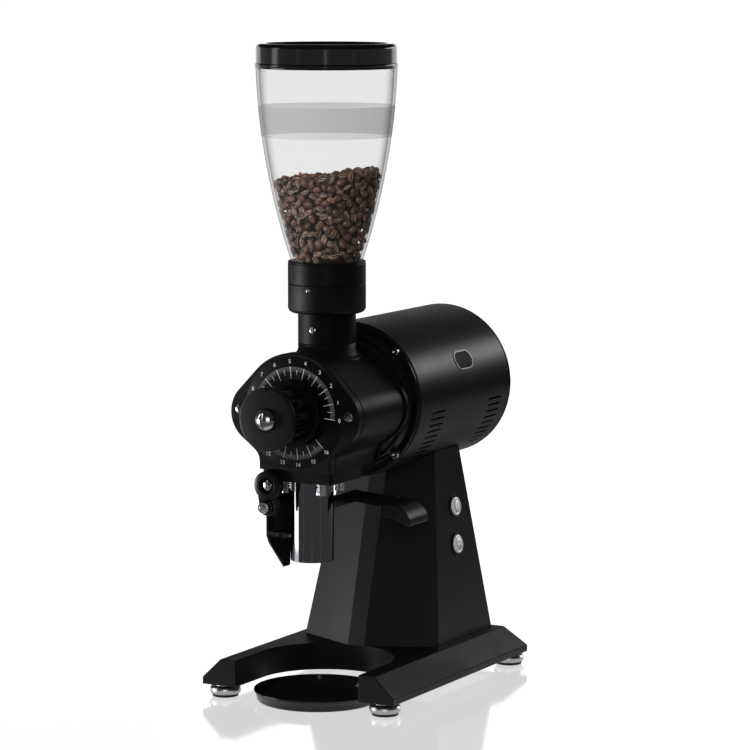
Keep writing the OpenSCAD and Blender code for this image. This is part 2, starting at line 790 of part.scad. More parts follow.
module shutoff_ring()
    color(black) union() {
        gate(gate_z + 2.4 + slide_gap, hopper_spigot_r + 0.5);
        at_neck(0) rotate_extrude($fn = 128) polygon([
            [28, gate_z + 4.5 + slide_gap], [hopper_spigot_r + 0.5, gate_z + 4.5 + slide_gap],
            [hopper_spigot_r + 0.5, collar_joint + slide_gap], [collar_r, collar_joint + slide_gap],
            [collar_r, collar_top], [hopper_spigot_r, collar_top],
            [hopper_spigot_r, collar_joint + 2], [28, collar_joint + 2]]);
    }

hopper_steps = [for (i = [0:10]) hopper_low + (hopper_top - hopper_low) * i / 10];
module hopper()
    color([0.85, 0.88, 0.9, 0.35]) at_neck(0) rotate_extrude($fn = 128) polygon(concat(
        [[hopper_spigot_r - hopper_wall, collar_joint + 2], [hopper_spigot_r, collar_joint + 2],
         [hopper_spigot_r, hopper_low]],
        [for (z = hopper_steps) [hopper_out(z), z]],
        [for (i = [10:-1:0]) [hopper_out(hopper_steps[i]) - hopper_wall, hopper_steps[i]]]));

bean_wall_z = 556;
bean_top_z = 572;
bean_low_z = hopper_low + 2;
module coffee_beans()
    color([0.25, 0.15, 0.1]) at_neck(0) rotate_extrude($fn = 96) polygon(concat(
        [[0, bean_low_z - 20], [hopper_spigot_r - hopper_wall - 0.6, bean_low_z - 20]],
        [for (i = [0:5]) let (z = bean_low_z + (bean_wall_z - bean_low_z) * i / 5)
            [hopper_out(z) - hopper_wall - 0.6, z]],
        [[22, bean_top_z - 2], [0, bean_top_z]]));

module hopper_lid()
    color(black) at_neck(0) rotate_extrude($fn = 160) polygon(concat(
        [[0, hopper_top - 4], [hopper_r - hopper_wall - 3, hopper_top - 4],
         [hopper_r - hopper_wall - slide_gap - 0.5, hopper_top - 3],
         [hopper_r - hopper_wall - slide_gap - 0.5, hopper_top + slide_gap],
         [hopper_r, hopper_top + slide_gap], [hopper_r, lid_top - 5]],
        [for (a = [0:15:90]) [hopper_r - 5 + 5 * cos(a), lid_top - 5 + 5 * sin(a)]],
        [[hopper_r - 10, lid_top], [hopper_r - 12, lid_top - 3], [0, lid_top - 3]]));

base_frame();
base_bottom_plate();
levelling_feet();
column_shell();
column_rear_cover();
cable_inlet();
motor_shell();
motor_end_cap();
motor_front_bell();
bell_screws();
stator_core();
stator_windings();
rear_bearing_shield();
front_bearing();
rear_bearing();
run_capacitor();
contactor();
grinder_housing();
front_cover();
cover_screws();
dial_plate();
fixed_burr();
outlet_flange();
outlet_tube();
outlet_thumb_screws();
neck_adapter();
neck_screws();
collar_sleeve();
gate_disc();
motor_badge();
button_bezels();
switch_bodies();
clamp_pivot_bolt();
clamp_spring();
thrust_bearing();
adjusting_spindle();
index_wheel();
fluted_grip();
knob_disc();
dome_nut();
pointer();
motor_shaft();
rotor_core();
cooling_fan();
burr_carrier();
rotating_burr();
feed_auger();
start_button();
stop_button();
clamp_hub();
clamp_plate();
clamp_strap();
side_paddle();
striker_stud();
clamp_thumb_screw();
catch_dish();
shutoff_ring();
hopper();
coffee_beans();
hopper_lid();
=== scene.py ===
import json
import math
import random

import bmesh
import bpy
from mathutils import Matrix, Vector, noise

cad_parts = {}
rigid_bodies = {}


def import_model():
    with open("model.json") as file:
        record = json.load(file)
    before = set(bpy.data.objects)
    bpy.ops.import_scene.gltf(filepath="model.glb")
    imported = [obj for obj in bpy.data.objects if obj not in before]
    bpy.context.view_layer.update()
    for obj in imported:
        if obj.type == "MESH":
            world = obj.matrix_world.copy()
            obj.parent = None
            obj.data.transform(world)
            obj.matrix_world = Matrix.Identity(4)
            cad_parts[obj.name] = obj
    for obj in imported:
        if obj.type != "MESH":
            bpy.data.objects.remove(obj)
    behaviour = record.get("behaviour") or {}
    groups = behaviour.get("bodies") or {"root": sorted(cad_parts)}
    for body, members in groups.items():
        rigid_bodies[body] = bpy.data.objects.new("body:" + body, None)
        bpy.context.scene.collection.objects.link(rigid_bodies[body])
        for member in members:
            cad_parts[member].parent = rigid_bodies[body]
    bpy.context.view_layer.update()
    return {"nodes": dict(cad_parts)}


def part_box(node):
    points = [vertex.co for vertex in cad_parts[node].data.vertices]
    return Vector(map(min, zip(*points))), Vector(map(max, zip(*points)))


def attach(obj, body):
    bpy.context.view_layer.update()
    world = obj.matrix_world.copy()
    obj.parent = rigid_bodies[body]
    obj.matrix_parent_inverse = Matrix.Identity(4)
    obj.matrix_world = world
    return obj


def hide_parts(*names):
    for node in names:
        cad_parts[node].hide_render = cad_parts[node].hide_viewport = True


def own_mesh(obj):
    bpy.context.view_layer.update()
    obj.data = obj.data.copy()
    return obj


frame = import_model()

scene = bpy.context.scene
# ---------------------------------------------------------------- studio
# The grinder stands on a plain white table with a slight gloss, with nothing but white behind.
# A broad overhead light and a few tall softboxes light it, so the black parts show only their sheen.


def linear(hex_colour):
    """An sRGB hex colour as the linear RGBA that a shader socket takes."""
    parts = [int(hex_colour[i:i + 2], 16) / 255 for i in (1, 3, 5)]
    return tuple(c / 12.92 if c <= 0.04045 else ((c + 0.055) / 1.055) ** 2.4 for c in parts) + (1.0,)


def add(tree, kind, inputs=None, **settings):
    """Adds one node, with its settings, its plain values and its links from other nodes' outputs."""
    made = tree.nodes.new(kind)
    for name, value in settings.items():
        setattr(made, name, value)
    for socket, value in (inputs or {}).items():
        if isinstance(value, bpy.types.NodeSocket):
            tree.links.new(value, made.inputs[socket])
        else:
            made.inputs[socket].default_value = value
    return made


def surface(name):
    """A new material with its node tree and its one shader."""
    made = bpy.data.materials.new(name)
    made.use_nodes = True
    return made, made.node_tree, made.node_tree.nodes["Principled BSDF"]


def grains(tree, scale, detail, place=None):
    """A noise over the part's own space, or over a place worked out before."""
    if place is None:
        place = add(tree, "ShaderNodeTexCoord").outputs["Object"]
    return add(tree, "ShaderNodeTexNoise", {"Vector": place, "Scale": scale, "Detail": detail}).outputs["Fac"]


def between(tree, factor, first, second):
    """One colour passing into another."""
    return add(tree, "ShaderNodeMix", {0: factor, 6: first, 7: second}, data_type="RGBA").outputs[2]


def spread(tree, value, low, high, to_low=0.0, to_high=1.0, **settings):
    """A value's range stretched onto another range."""
    return add(tree, "ShaderNodeMapRange", {"Value": value, "From Min": low, "From Max": high,
                                            "To Min": to_low, "To Max": to_high}, **settings).outputs[0]


def relieved(tree, height, strength, distance):
    """A surface normal that follows a height."""
    return add(tree, "ShaderNodeBump", {"Height": height, "Strength": strength,
                                        "Distance": distance}).outputs[0]


def dress(shader, tree, **links):
    """Links colours, sheens and normals to a shader's sockets, or sets their plain values."""
    for name, value in links.items():
        socket = shader.inputs[name.replace("_", " ")]
        if isinstance(value, bpy.types.NodeSocket):
            tree.links.new(value, socket)
        else:
            socket.default_value = value


eye = bpy.data.cameras.new("camera")
eye.lens = 161.26
eye.sensor_width = 36
eye.clip_end = 60
camera = bpy.data.objects.new("camera", eye)
camera.location = (1.75576, -3.18699, 0.80202)
camera.rotation_euler = (math.radians(82.8187), 0, math.radians(28.5531))
scene.collection.objects.link(camera)
scene.camera = camera
scene.view_settings.view_transform = "Standard"

table_radius = 1.9
bm = bmesh.new()
bmesh.ops.create_circle(bm, cap_ends=True, radius=table_radius, segments=96)
table_mesh = bpy.data.meshes.new("table_top")
bm.to_mesh(table_mesh)
bm.free()
table_top = bpy.data.objects.new("table_top", table_mesh)
scene.collection.objects.link(table_top)
# the laminate glows evenly white to the eye; to the parts above it, it glows only near the grinder's foot, a
# painted pool of light that lights them and shows in their reflections
glowing_white_laminate, tree, laminate = surface("glowing_white_laminate")
spot = add(tree, "ShaderNodeVectorMath", {0: add(tree, "ShaderNodeTexCoord").outputs["Object"]},
           operation="LENGTH")
painted_foot_glow = spread(tree, spot.outputs["Value"], 0.26, 0.5, 0.45, 0.02)
direct = add(tree, "ShaderNodeLightPath").outputs["Is Camera Ray"]
glow = add(tree, "ShaderNodeMix", {0: direct, 2: painted_foot_glow, 3: 0.62}, data_type="FLOAT")
dress(laminate, tree, Base_Color=linear("#3c3c3c"), Roughness=0.09, IOR=1.42,
      Emission_Color=linear("#ffffff"), Emission_Strength=glow.outputs[0])
table_mesh.materials.append(glowing_white_laminate)

# white to the eye and through the clear hopper, dim to everything that reflects it
surround = bpy.data.worlds.new("surround")
surround.use_nodes = True
scene.world = surround
tree = surround.node_tree
tree.nodes.clear()
rays = add(tree, "ShaderNodeLightPath")
seen = add(tree, "ShaderNodeMath", {0: rays.outputs["Is Camera Ray"],
                                    1: rays.outputs["Is Transmission Ray"]},
           operation="MAXIMUM")
dim = add(tree, "ShaderNodeBackground", {"Color": linear("#ffffff"), "Strength": 0.02})
bright = add(tree, "ShaderNodeBackground", {"Color": linear("#ffffff"), "Strength": 1.05})
mixed = add(tree, "ShaderNodeMixShader", {0: seen.outputs[0], 1: dim.outputs[0], 2: bright.outputs[0]})
add(tree, "ShaderNodeOutputWorld", {"Surface": mixed.outputs[0]})


def softbox(name, azimuth, height, distance, width, tall, power, aim=(0, 0, 0.35)):
    """A soft area lamp that stands at an azimuth round the grinder and faces it."""
    lamp = bpy.data.lights.new(name, "AREA")
    lamp.shape = "RECTANGLE"
    lamp.size = width
    lamp.size_y = tall
    lamp.energy = power
    stand = bpy.data.objects.new(name, lamp)
    turn = math.radians(azimuth)
    stand.location = (math.sin(turn) * distance, -math.cos(turn) * distance, height)
    stand.rotation_euler = (Vector(aim) - stand.location).to_track_quat("-Z", "Y").to_euler()
    stand.visible_camera = False
    scene.collection.objects.link(stand)
    return stand


# azimuth 0 is in front of the dial, 90 on the side with the buttons
softbox("left_box", -60, 0.95, 1.9, 0.4, 0.9, 2.4)
softbox("left_low_box", -58, 0.15, 1.0, 0.5, 0.3, 3)
softbox("left_rear_box", -100, 0.2, 1.9, 0.9, 0.6, 0.5)
softbox("front_strip", 27, 0.75, 2.6, 0.16, 0.9, 0.6)
softbox("rear_box", 154, 1.05, 2.4, 1.3, 0.4, 4.6)
softbox("rear_sheet", 190, 0.75, 2.6, 2.6, 1.3, 2.6)

# white cards all round that only the table sees, so that the feet and base are mirrored in front of them
only_table = bpy.data.collections.new("only_table")
only_table.objects.link(table_top)
for azimuth, power in ((28, 9), (118, 9), (208, 41), (298, 9)):
    card = softbox("mirror_card", azimuth, 0.6, 3.2, 6.8, 1.6, power, (0, 0, 0.6))
    card.light_linking.receiver_collection = only_table

sun = bpy.data.lights.new("overhead", "SUN")
sun.energy = 2.6
sun.angle = math.radians(75)
overhead = bpy.data.objects.new("overhead", sun)
overhead.rotation_euler = (math.radians(18), math.radians(-12), 0)
overhead.visible_glossy = False
scene.collection.objects.link(overhead)

# a second plain light from the camera's side, for the beans and the prints, with no reflection of its own
sun = bpy.data.lights.new("front_fill", "SUN")
sun.energy = 1.7
sun.angle = math.radians(50)
front_fill = bpy.data.objects.new("front_fill", sun)
front_fill.rotation_euler = (math.radians(62), 0, math.radians(20))
front_fill.visible_glossy = False
scene.collection.objects.link(front_fill)

# ---------------------------------------------------------------- base casting
# One heavy U-shaped aluminium casting with sloping flanks, open in front for the dish or a bag.
# Sand cast, ground along its edges and powder coated satin black.


def powder_coat(name, colours, rough, grain=2.4, relief=0.05, cloud=0.12, shine=0.5):
    """Sprayed and baked black coat: a faint orange peel, with its sheen a little uneven."""
    made, tree, coat = surface(name)
    patches = grains(tree, 14.0, 4.0)
    dress(coat, tree, Specular_IOR_Level=shine,
          Base_Color=between(tree, patches, linear(colours[0]), linear(colours[1])),
          Roughness=spread(tree, patches, 0.3, 0.7, rough * (1 - cloud), rough * (1 + cloud)),
          Normal=relieved(tree, grains(tree, 1000 / grain, 2.0), relief, 0.001))
    return made


def turn_mesh(bm, degrees, axis):
    """Turns a whole mesh about one of the three axes through the origin."""
    turn = Matrix.Rotation(math.radians(degrees), 3, axis)
    bmesh.ops.rotate(bm, verts=bm.verts, cent=(0, 0, 0), matrix=turn)


def block(size, at=(0, 0, 0)):
    """A plain box with its middle at a point."""
    bm = bmesh.new()
    bmesh.ops.create_cube(bm, size=1)
    bmesh.ops.scale(bm, vec=size, verts=bm.verts)
    bmesh.ops.translate(bm, verts=bm.verts, vec=at)
    return bm


def ease(piece, width, segments, corner):
    """Rounds a piece's sharp edges to a width in millimetres."""
    edge = piece.modifiers.new("eased_edges", "BEVEL")
    edge.width = width / 1000
    edge.segments = segments
    edge.limit_method = "ANGLE"
    edge.angle_limit = math.radians(corner)
    edge.harden_normals = True


def finish(bm, name, material, width=0.0, segments=2, corner=32):
    """Puts a mesh drawn in millimetres in the scene, with its sharp edges rounded to a width."""
    bmesh.ops.scale(bm, vec=(0.001, 0.001, 0.001), verts=bm.verts)
    mesh = bpy.data.meshes.new(name)
    bm.to_mesh(mesh)
    bm.free()
    for face in mesh.polygons:
        face.use_smooth = True
    made = bpy.data.objects.new(name, mesh)
    scene.collection.objects.link(made)
    mesh.materials.append(material)
    if width:
        ease(made, width, segments, corner)
    return made


def keep_sharp(piece, degrees):
    """Shades a piece smooth, apart from edges sharper than an angle."""
    piece.data.set_sharp_from_angle(angle=math.radians(degrees))


def taken_back(piece):
    """A finished piece's shape as a mesh in millimetres again. The piece itself goes."""
    shape = bpy.data.meshes.new_from_object(piece.evaluated_get(bpy.context.evaluated_depsgraph_get()))
    made = bmesh.new()
    made.from_mesh(shape)
    bmesh.ops.scale(made, vec=(1000, 1000, 1000), verts=made.verts)
    bpy.data.objects.remove(piece)
    return made


def raised(outline, thickness):
    """A flat outline drawn in X and Y, pulled up along Z."""
    bm = bmesh.new()
    face = bm.faces.new([bm.verts.new((x, y, 0)) for x, y in outline])
    moved = bmesh.ops.extrude_face_region(bm, geom=[face])["geom"]
    bmesh.ops.translate(bm, verts=[v for v in moved if isinstance(v, bmesh.types.BMVert)],
                        vec=(0, 0, thickness))
    bmesh.ops.recalc_face_normals(bm, faces=bm.faces)
    return bm


def cut_away(piece, *shapes):
    """Cuts shapes drawn in millimetres out of a piece and keeps the result as its mesh."""
    for shape in shapes:
        cutter = finish(shape, "cutter", piece.data.materials[0])
        cut = piece.modifiers.new("cut", "BOOLEAN")
        cut.object = cutter
        cut.solver = "EXACT"
        for other in piece.modifiers:
            other.show_viewport = other == cut
        ready = piece.evaluated_get(bpy.context.evaluated_depsgraph_get())
        old = piece.data
        piece.data = bpy.data.meshes.new_from_object(ready)
        piece.data.name = old.name
        piece.modifiers.remove(cut)
        bpy.data.meshes.remove(old)
        bpy.data.objects.remove(cutter)
    for other in piece.modifiers:
        other.show_viewport = True


def limits(node):
    """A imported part's lowest and highest corner in millimetres."""
    return [corner * 1000 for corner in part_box(node)]


def arc(centre, radius, first, last, steps):
    """Points along an arc, its angles in degrees."""
    turns = [math.radians(first + (last - first) * i / steps) for i in range(steps + 1)]
    return [(centre[0] + radius * math.cos(t), centre[1] + radius * math.sin(t)) for t in turns]


low, high = limits("base_frame")
flank_edge = 7.8
flank_lean = 23
rear_lean = 14
bay_radius = 75.5
plan = [(low.x, low.y), (-bay_radius, low.y)]
plan += arc((0, -bay_radius), bay_radius, 180, 0, 56)
plan += [(bay_radius, low.y), (high.x, low.y), (high.x, high.y), (low.x, high.y)]
bm = raised(plan, flank_edge)
bmesh.ops.translate(bm, verts=bm.verts, vec=(0, 0, low.z))
top = [f for f in bm.faces if f.normal.z > 0.9]
moved = [v for v in bmesh.ops.extrude_face_region(bm, geom=top)["geom"]
         if isinstance(v, bmesh.types.BMVert)]
bmesh.ops.delete(bm, geom=top, context="FACES_ONLY")
for v in moved:
    v.co.z = high.z
    if abs(v.co.x) > high.x - 1:
        v.co.x -= math.copysign(flank_lean, v.co.x)
    if v.co.y > high.y - 1:
        v.co.y -= rear_lean
bmesh.ops.recalc_face_normals(bm, faces=bm.faces)
satin_black = powder_coat("satin_black_powder_coat", ("#060606", "#090909"), 0.4)
base_coat = powder_coat("satin_black_casting_coat", ("#060606", "#090909"), 0.42, shine=0.26)
base = finish(bm, "base_casting", base_coat, 1.1, 3)
plate_low, plate_high = limits("base_bottom_plate")
cut_away(base, block((plate_high.x * 2 + 1, plate_high.y - plate_low.y + 1, 46),
                     (0, (plate_low.y + plate_high.y) / 2, low.z)))
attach(base, "frame")
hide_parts("base_frame")

# ---------------------------------------------------------------- bottom plate
# A zinc plated sheet screwed into the hollow under the column.


def metal(name, colour, rough, grain=(400, 400, 400), relief=0.02, streak=0.25):
    """Bare or plated metal with fine working marks, their count per metre given along each axis."""
    made, tree, skin = surface(name)
    place = add(tree, "ShaderNodeTexCoord").outputs["Object"]
    laid = add(tree, "ShaderNodeMapping", {"Vector": place, "Scale": grain})
    marks = grains(tree, 1.0, 3.0, laid.outputs[0])
    pale = linear(colour)
    dull = tuple(c * 0.86 for c in pale[:3]) + (1.0,)
    dress(skin, tree, Metallic=1.0, Base_Color=between(tree, marks, dull, pale),
          Roughness=spread(tree, marks, 0.25, 0.75, rough * (1 - streak), rough * (1 + streak)),
          Normal=relieved(tree, marks, relief, 0.0005))
    return made


def wear(node, material):
    """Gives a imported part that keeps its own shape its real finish."""
    slots = frame["nodes"][node].material_slots
    for slot in slots:
        slot.material = material


zinc_plate = metal("zinc_plated_sheet", "#b9bcbf", 0.42, (90, 90, 90), 0.03)
wear("base_bottom_plate", zinc_plate)

# ---------------------------------------------------------------- levelling feet
# Turned and chromed steel feet with a rounded shoulder, each on a thin black rubber pad.


def turned(profile, steps=96):
    """A line of (radius, height) points spun round the Z axis."""
    bm = bmesh.new()
    line = [bm.verts.new((r, 0, h)) for r, h in profile]
    geometry = line + [bm.edges.new(pair) for pair in zip(line, line[1:])]
    bmesh.ops.spin(bm, geom=geometry, cent=(0, 0, 0), axis=(0, 0, 1), angle=math.tau, steps=steps,
                   use_merge=True)
    bmesh.ops.remove_doubles(bm, verts=bm.verts, dist=0.002)
    bmesh.ops.recalc_face_normals(bm, faces=bm.faces)
    return bm


def shifted(bm, x, y, z):
    """Moves a mesh and hands it back."""
    bmesh.ops.translate(bm, verts=bm.verts, vec=(x, y, z))
    return bm


def joined(parts):
    """Several meshes as one."""
    whole = bmesh.new()
    for part in parts:
        carried = bpy.data.meshes.new("carried")
        part.to_mesh(carried)
        part.free()
        whole.from_mesh(carried)
        bpy.data.meshes.remove(carried)
    return whole


def foot_metal():
    crown = [(0, 13.6), (11.6, 13.6), (11.6, 12.2), (13, 11.2)]
    shoulder = arc((12.4, 7.6), 4.5, 62, 0, 6)
    return turned(crown + shoulder + [(16.9, 5.2), (16.2, 4.0), (15.4, 3.2), (14.8, 2.9), (0, 2.9)], 72)


feet_low, feet_high = limits("levelling_feet")
foot_x = feet_high.x - 17
foot_places = [(x, y) for x in (-foot_x, foot_x) for y in (feet_low.y + 17, feet_high.y - 17)]
# chrome over fine turning marks that run level round each part: satin on the feet, bright on the nuts
turned_chrome = metal("turned_chrome", "#d9dbdd", 0.13, (20, 20, 1600), 0.05)
satin_chrome = metal("satin_turned_steel", "#d3d5d7", 0.27, (20, 20, 1600), 0.08)
feet = finish(joined([shifted(foot_metal(), x, y, 0) for x, y in foot_places]), "levelling_feet_metal",
              satin_chrome, 0.25, 2)
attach(feet, "frame")
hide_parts("levelling_feet")

black_rubber = powder_coat("black_moulded_rubber", ("#0d0d0d", "#141414"), 0.7, 1.2, 0.2)
pads = finish(joined([shifted(turned([(0, 0), (13.6, 0), (14.3, 0.7), (14.3, 2.6), (13, 2.9), (0, 2.9)],
                                     64), x, y, 0)
                      for x, y in foot_places]), "levelling_feet_pads", black_rubber, 0.2, 2)
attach(pads, "frame")

# ---------------------------------------------------------------- catch dish
# A shallow pressed steel dish with a rolled rim, dipped in gloss black enamel. It stands loose in the bay.


def gloss(name, colours, rough, ripple=18.0, relief=0.03):
    """Smooth glossy black, an enamel or a moulded plastic, with the slow ripple such surfaces have."""
    made, tree, skin = surface(name)
    slow = grains(tree, 1000 / ripple, 2.0)
    dust = grains(tree, 1500.0, 1.0)
    dress(skin, tree, Base_Color=between(tree, slow, linear(colours[0]), linear(colours[1])),
          Roughness=spread(tree, dust, 0.45, 0.8, rough, rough * 1.6),
          Normal=relieved(tree, slow, relief, 0.001))
    return made


dish_low, dish_high = limits("catch_dish")
dish_r = dish_high.x
dish_h = dish_high.z
dish_line = [(0, 0), (dish_r - 6.5, 0), (dish_r - 4.6, 0.8), (dish_r - 3.6, 2.2),
             (dish_r - 1.6, dish_h - 2.2)]
dish_line += arc((dish_r - 1.1, dish_h - 1.1), 1.1, -60, 190, 10)
dish_line += [(dish_r - 5.2, 3.6), (dish_r - 6.2, 2.1), (dish_r - 8, 1.5), (0, 1.5)]
gloss_enamel = gloss("gloss_black_enamel", ("#070707", "#0b0b0b"), 0.1, 26, 0.05)
dish = finish(shifted(turned(dish_line, 128), 0, (dish_low.y + dish_high.y) / 2, 0), "enamel_dish",
              gloss_enamel)
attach(dish, "dish")
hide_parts("catch_dish")

# ---------------------------------------------------------------- column
# A folded and welded steel tower with two flat facets in front, tapering up to the motor's cradle.
# Powder coated with the base. Its back is a separate sheet held by four screws.
foot_low, foot_high = limits("column_shell")
saddle_low, saddle_high = limits("motor_shell")
shaft_z = (saddle_low.z + saddle_high.z) / 2
motor_r = saddle_high.x
head_half = 56
facet_half = 10
facet_slope = 0.4905
front_rise = 57.4
rear_rise = 28.2
sheet = 4


def tower(inset, rear, low_z, high_z):
    """The tower's outside, or its inside when it is let in by the sheet's thickness."""
    span = foot_high.z - foot_low.z
    rings = []
    bm = bmesh.new()
    for z in (low_z, high_z):
        t = (z - foot_low.z) / span
        half = foot_high.x + (head_half - foot_high.x) * t - inset
        front = foot_low.y + front_rise * t + inset * 1.1
        side_front = front + (half - facet_half) * facet_slope
        back = rear - rear_rise * t
        plan = [(facet_half, front), (half, side_front), (half, back), (-half, back), (-half, side_front),
                (-facet_half, front)]
        ring = [bm.verts.new((x, y, z)) for x, y in plan]
        rings.append([bm.edges.new((a, b)) for a, b in zip(ring, ring[1:] + ring[:1])])
        bm.faces.new(ring)
    bmesh.ops.bridge_loops(bm, edges=rings[0] + rings[1])
    bmesh.ops.recalc_face_normals(bm, faces=bm.faces)
    return bm


def rod(radius, length, steps=64):
    """A plain round bar from the origin up the Z axis."""
    return turned([(0, 0), (radius, 0), (radius, length), (0, length)], steps)


def along_shaft(bm, y, x=0, z=None):
    """Lays a mesh turned round Z along the shaft, its foot at y and its top towards the front."""
    turn_mesh(bm, 90, "X")
    return shifted(bm, x, y, shaft_z if z is None else z)


def saddle():
    """The round cut across the tower's top that the motor lies in."""
    return along_shaft(rod(motor_r + 0.1, 260, 160), 240)


side_lean = math.atan((foot_high.x - head_half) / (foot_high.z - foot_low.z))


def on_side(bm, y, z):
    """Puts a mesh that stands on Z onto the tower's leaning right-hand side."""
    half = foot_high.x + (head_half - foot_high.x) * (z - foot_low.z) / (foot_high.z - foot_low.z)
    turn_mesh(bm, 90 - math.degrees(side_lean), "Y")
    return shifted(bm, half, y, z)


button_r = 10.5
button_places = {"start": (107.6, 188), "stop": (102.2, 146.6)}
column = finish(tower(0, foot_high.y, foot_low.z, foot_high.z), "column_tower", satin_black, 0.8, 2, 20)
cut_away(column,
         tower(sheet, foot_high.y + 6, foot_low.z - 1, foot_high.z + 1),
         saddle(),
         *[on_side(shifted(rod(button_r + 2, 30), 0, 0, -15), *at) for at in button_places.values()])
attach(column, "frame")
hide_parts("column_shell")


# ---------------------------------------------------------------- rear cover
# A flat sheet closes the tower's back. Four pan head screws hold it, so the switches can be reached.
back_sheet = tower(sheet + 0.3, foot_high.y, foot_low.z + 0.4, foot_high.z)
bmesh.ops.bisect_plane(back_sheet, geom=back_sheet.verts[:] + back_sheet.edges[:] + back_sheet.faces[:],
                       plane_co=(0, foot_high.y - sheet, foot_low.z),
                       plane_no=(0, -(foot_high.z - foot_low.z), -rear_rise), clear_outer=True)
bmesh.ops.holes_fill(back_sheet, edges=back_sheet.edges, sides=0)
bmesh.ops.recalc_face_normals(back_sheet, faces=back_sheet.faces)
inlet_z = foot_low.z + 22
back = finish(back_sheet, "tower_back_sheet", satin_black, 0.7, 2, 20)
cut_away(back, saddle(), along_shaft(rod(8.1, 60), 190, 0, inlet_z))
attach(back, "frame")
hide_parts("column_rear_cover")


def pan_head(radius, height, slot_width=0.0, cross=False):
    """A turned screw head with a domed edge, standing on Z, with its slot or cross cut in."""
    line = [(0, height), (radius * 0.45, height * 0.98), (radius * 0.8, height * 0.8),
            (radius * 0.97, height * 0.4), (radius, 0), (0, 0)]
    head = finish(turned(line, 40), "head", satin_black)
    slots = []
    for turn in ([0, 90] if cross else [0]):
        groove = block((slot_width, radius * (1.1 if cross else 3), height))
        turn_mesh(groove, turn, "Z")
        slots.append(shifted(groove, 0, 0, height))
    cut_away(head, *slots)
    return taken_back(head)


black_oxide = metal("black_oxide_steel", "#3a3a3c", 0.34, (700, 700, 700), 0.04)
screws = []
for x, z in ((-62, 66), (62, 66), (-52, 200), (52, 200)):
    head = pan_head(4.4, 2.4, 1.0, cross=True)
    turn_mesh(head, -90, "X")
    screws.append(shifted(head, x, foot_high.y - rear_rise * (z - foot_low.z) / (foot_high.z - foot_low.z),
                          z))
back_screws = finish(joined(screws), "back_sheet_screws", black_oxide, 0.15, 2)
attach(back_screws, "frame")

# ---------------------------------------------------------------- cable gland
# A moulded nylon gland in the back sheet: a hexagon nut and a ribbed cone that grips the lead.
black_nylon = powder_coat("black_moulded_nylon", ("#101011", "#161617"), 0.5, 1.6, 0.12)
inlet_high = limits("cable_inlet")[1]
nut = raised(arc((0, 0), 11.8, 0, 300, 5), 5)
cone = turned([(4, -4), (9.4, -4), (9.4, 0), (10, 0.6), (9.2, 7), (7.6, 9.4), (5.4, 10.4), (4, 10.2),
               (4, -4)], 48)
ribs = []
for i in range(18):
    rib = block((1.2, 1.0, 6), (9.6, 0, 3.4))
    turn_mesh(rib, 360 * i / 18, "Z")
    ribs.append(rib)
gland_mesh = joined([nut, shifted(joined([cone] + ribs), 0, 0, 5)])
turn_mesh(gland_mesh, -90, "X")
gland = finish(shifted(gland_mesh, 0, inlet_high.y - 15.6, inlet_z), "cable_gland", black_nylon, 0.3, 2)
cut_away(gland, along_shaft(rod(4, 60, 40), 200, 0, inlet_z))
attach(gland, "frame")
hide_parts("cable_inlet")

# ---------------------------------------------------------------- push buttons
# Two domed silver caps in black bezels: start on top with its bar, stop below with its ring.
# Each cap has a shallow groove inside its rim, and the marks are printed in dark grey.
silver_cap = metal("satin_silver_cap", "#d6d8da", 0.36, (500, 500, 500), 0.02)
silver_cap.node_tree.nodes["Principled BSDF"].inputs["Metallic"].default_value = 0.55
gloss_black = gloss("gloss_black_plastic", ("#060606", "#090909"), 0.12, 22, 0.02)
dark_print = powder_coat("dark_grey_print", ("#3a3a3b", "#444446"), 0.6, 0.8, 0.1)
for name, (y, z) in button_places.items():
    ring = turned([(button_r + 0.15, -9), (button_r + 1.9, -9), (button_r + 1.9, 0), (button_r + 2.9, 0),
                   (button_r + 2.6, 1.1), (button_r + 1.6, 1.4), (button_r + 0.6, 1.2),
                   (button_r + 0.15, 0.4), (button_r + 0.15, -9)], 64)
    bezel = finish(on_side(ring, y, z), name + "_bezel", gloss_black, 0.2, 2)
    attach(bezel, "frame")
    if name == "start":
        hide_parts("button_bezels")
    line = [(0, -7), (button_r - 0.1, -7), (button_r - 0.1, 1.7), (button_r - 0.7, 2.4),
            (button_r - 2.2, 2.9),
            (button_r - 2.5, 2.5), (button_r - 3.2, 2.5), (button_r - 3.5, 3.0), (4, 3.4), (0, 3.5)]
    cap = finish(on_side(turned(line, 64), y, z), name + "_button_cap", silver_cap)
    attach(cap, name + "_button")
    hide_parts(name + "_button")
    if name == "start":
        mark = block((6.4, 0.9, 0.3), (0, 0, 3.45))
    else:
        mark = shifted(turned([(2.2, -0.1), (3.0, -0.1), (3.0, 0.12), (2.2, 0.12), (2.2, -0.1)], 48), 0, 0,
                       3.46)
        bmesh.ops.scale(mark, vec=(1.25, 0.85, 1), verts=mark.verts)
    sign = finish(on_side(mark, y, z), name + "_mark", dark_print)
    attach(sign, name + "_button")

# ---------------------------------------------------------------- motor shell
# Rolled and welded steel tube, turned in at its front edge and punched with four rows of air slots.
# Sprayed satin black over the weld, a little smoother than the tower.
motor_low, motor_high = limits("motor_shell")
motor_wall = 3
shell_length = motor_high.y - motor_low.y
line = [(motor_r - motor_wall, 0), (motor_r - motor_wall, shell_length - 0.2),
        (motor_r - 2.2, shell_length),
        (motor_r - 1.3, shell_length - 0.1), (motor_r - 0.4, shell_length - 0.7),
        (motor_r, shell_length - 1.8), (motor_r, 0.6), (motor_r - 0.6, 0), (motor_r - motor_wall, 0)]
motor_paint = powder_coat("satin_black_motor_paint", ("#070707", "#0a0a0a"), 0.33, 3.2, 0.03, 0.08)
shell = finish(along_shaft(turned(line, 192), motor_high.y), "motor_tube", motor_paint)
slots = []
slot_width = 2.2
slots_in_row = 9
lowest_slot = 9.2
slot_pitch = 5
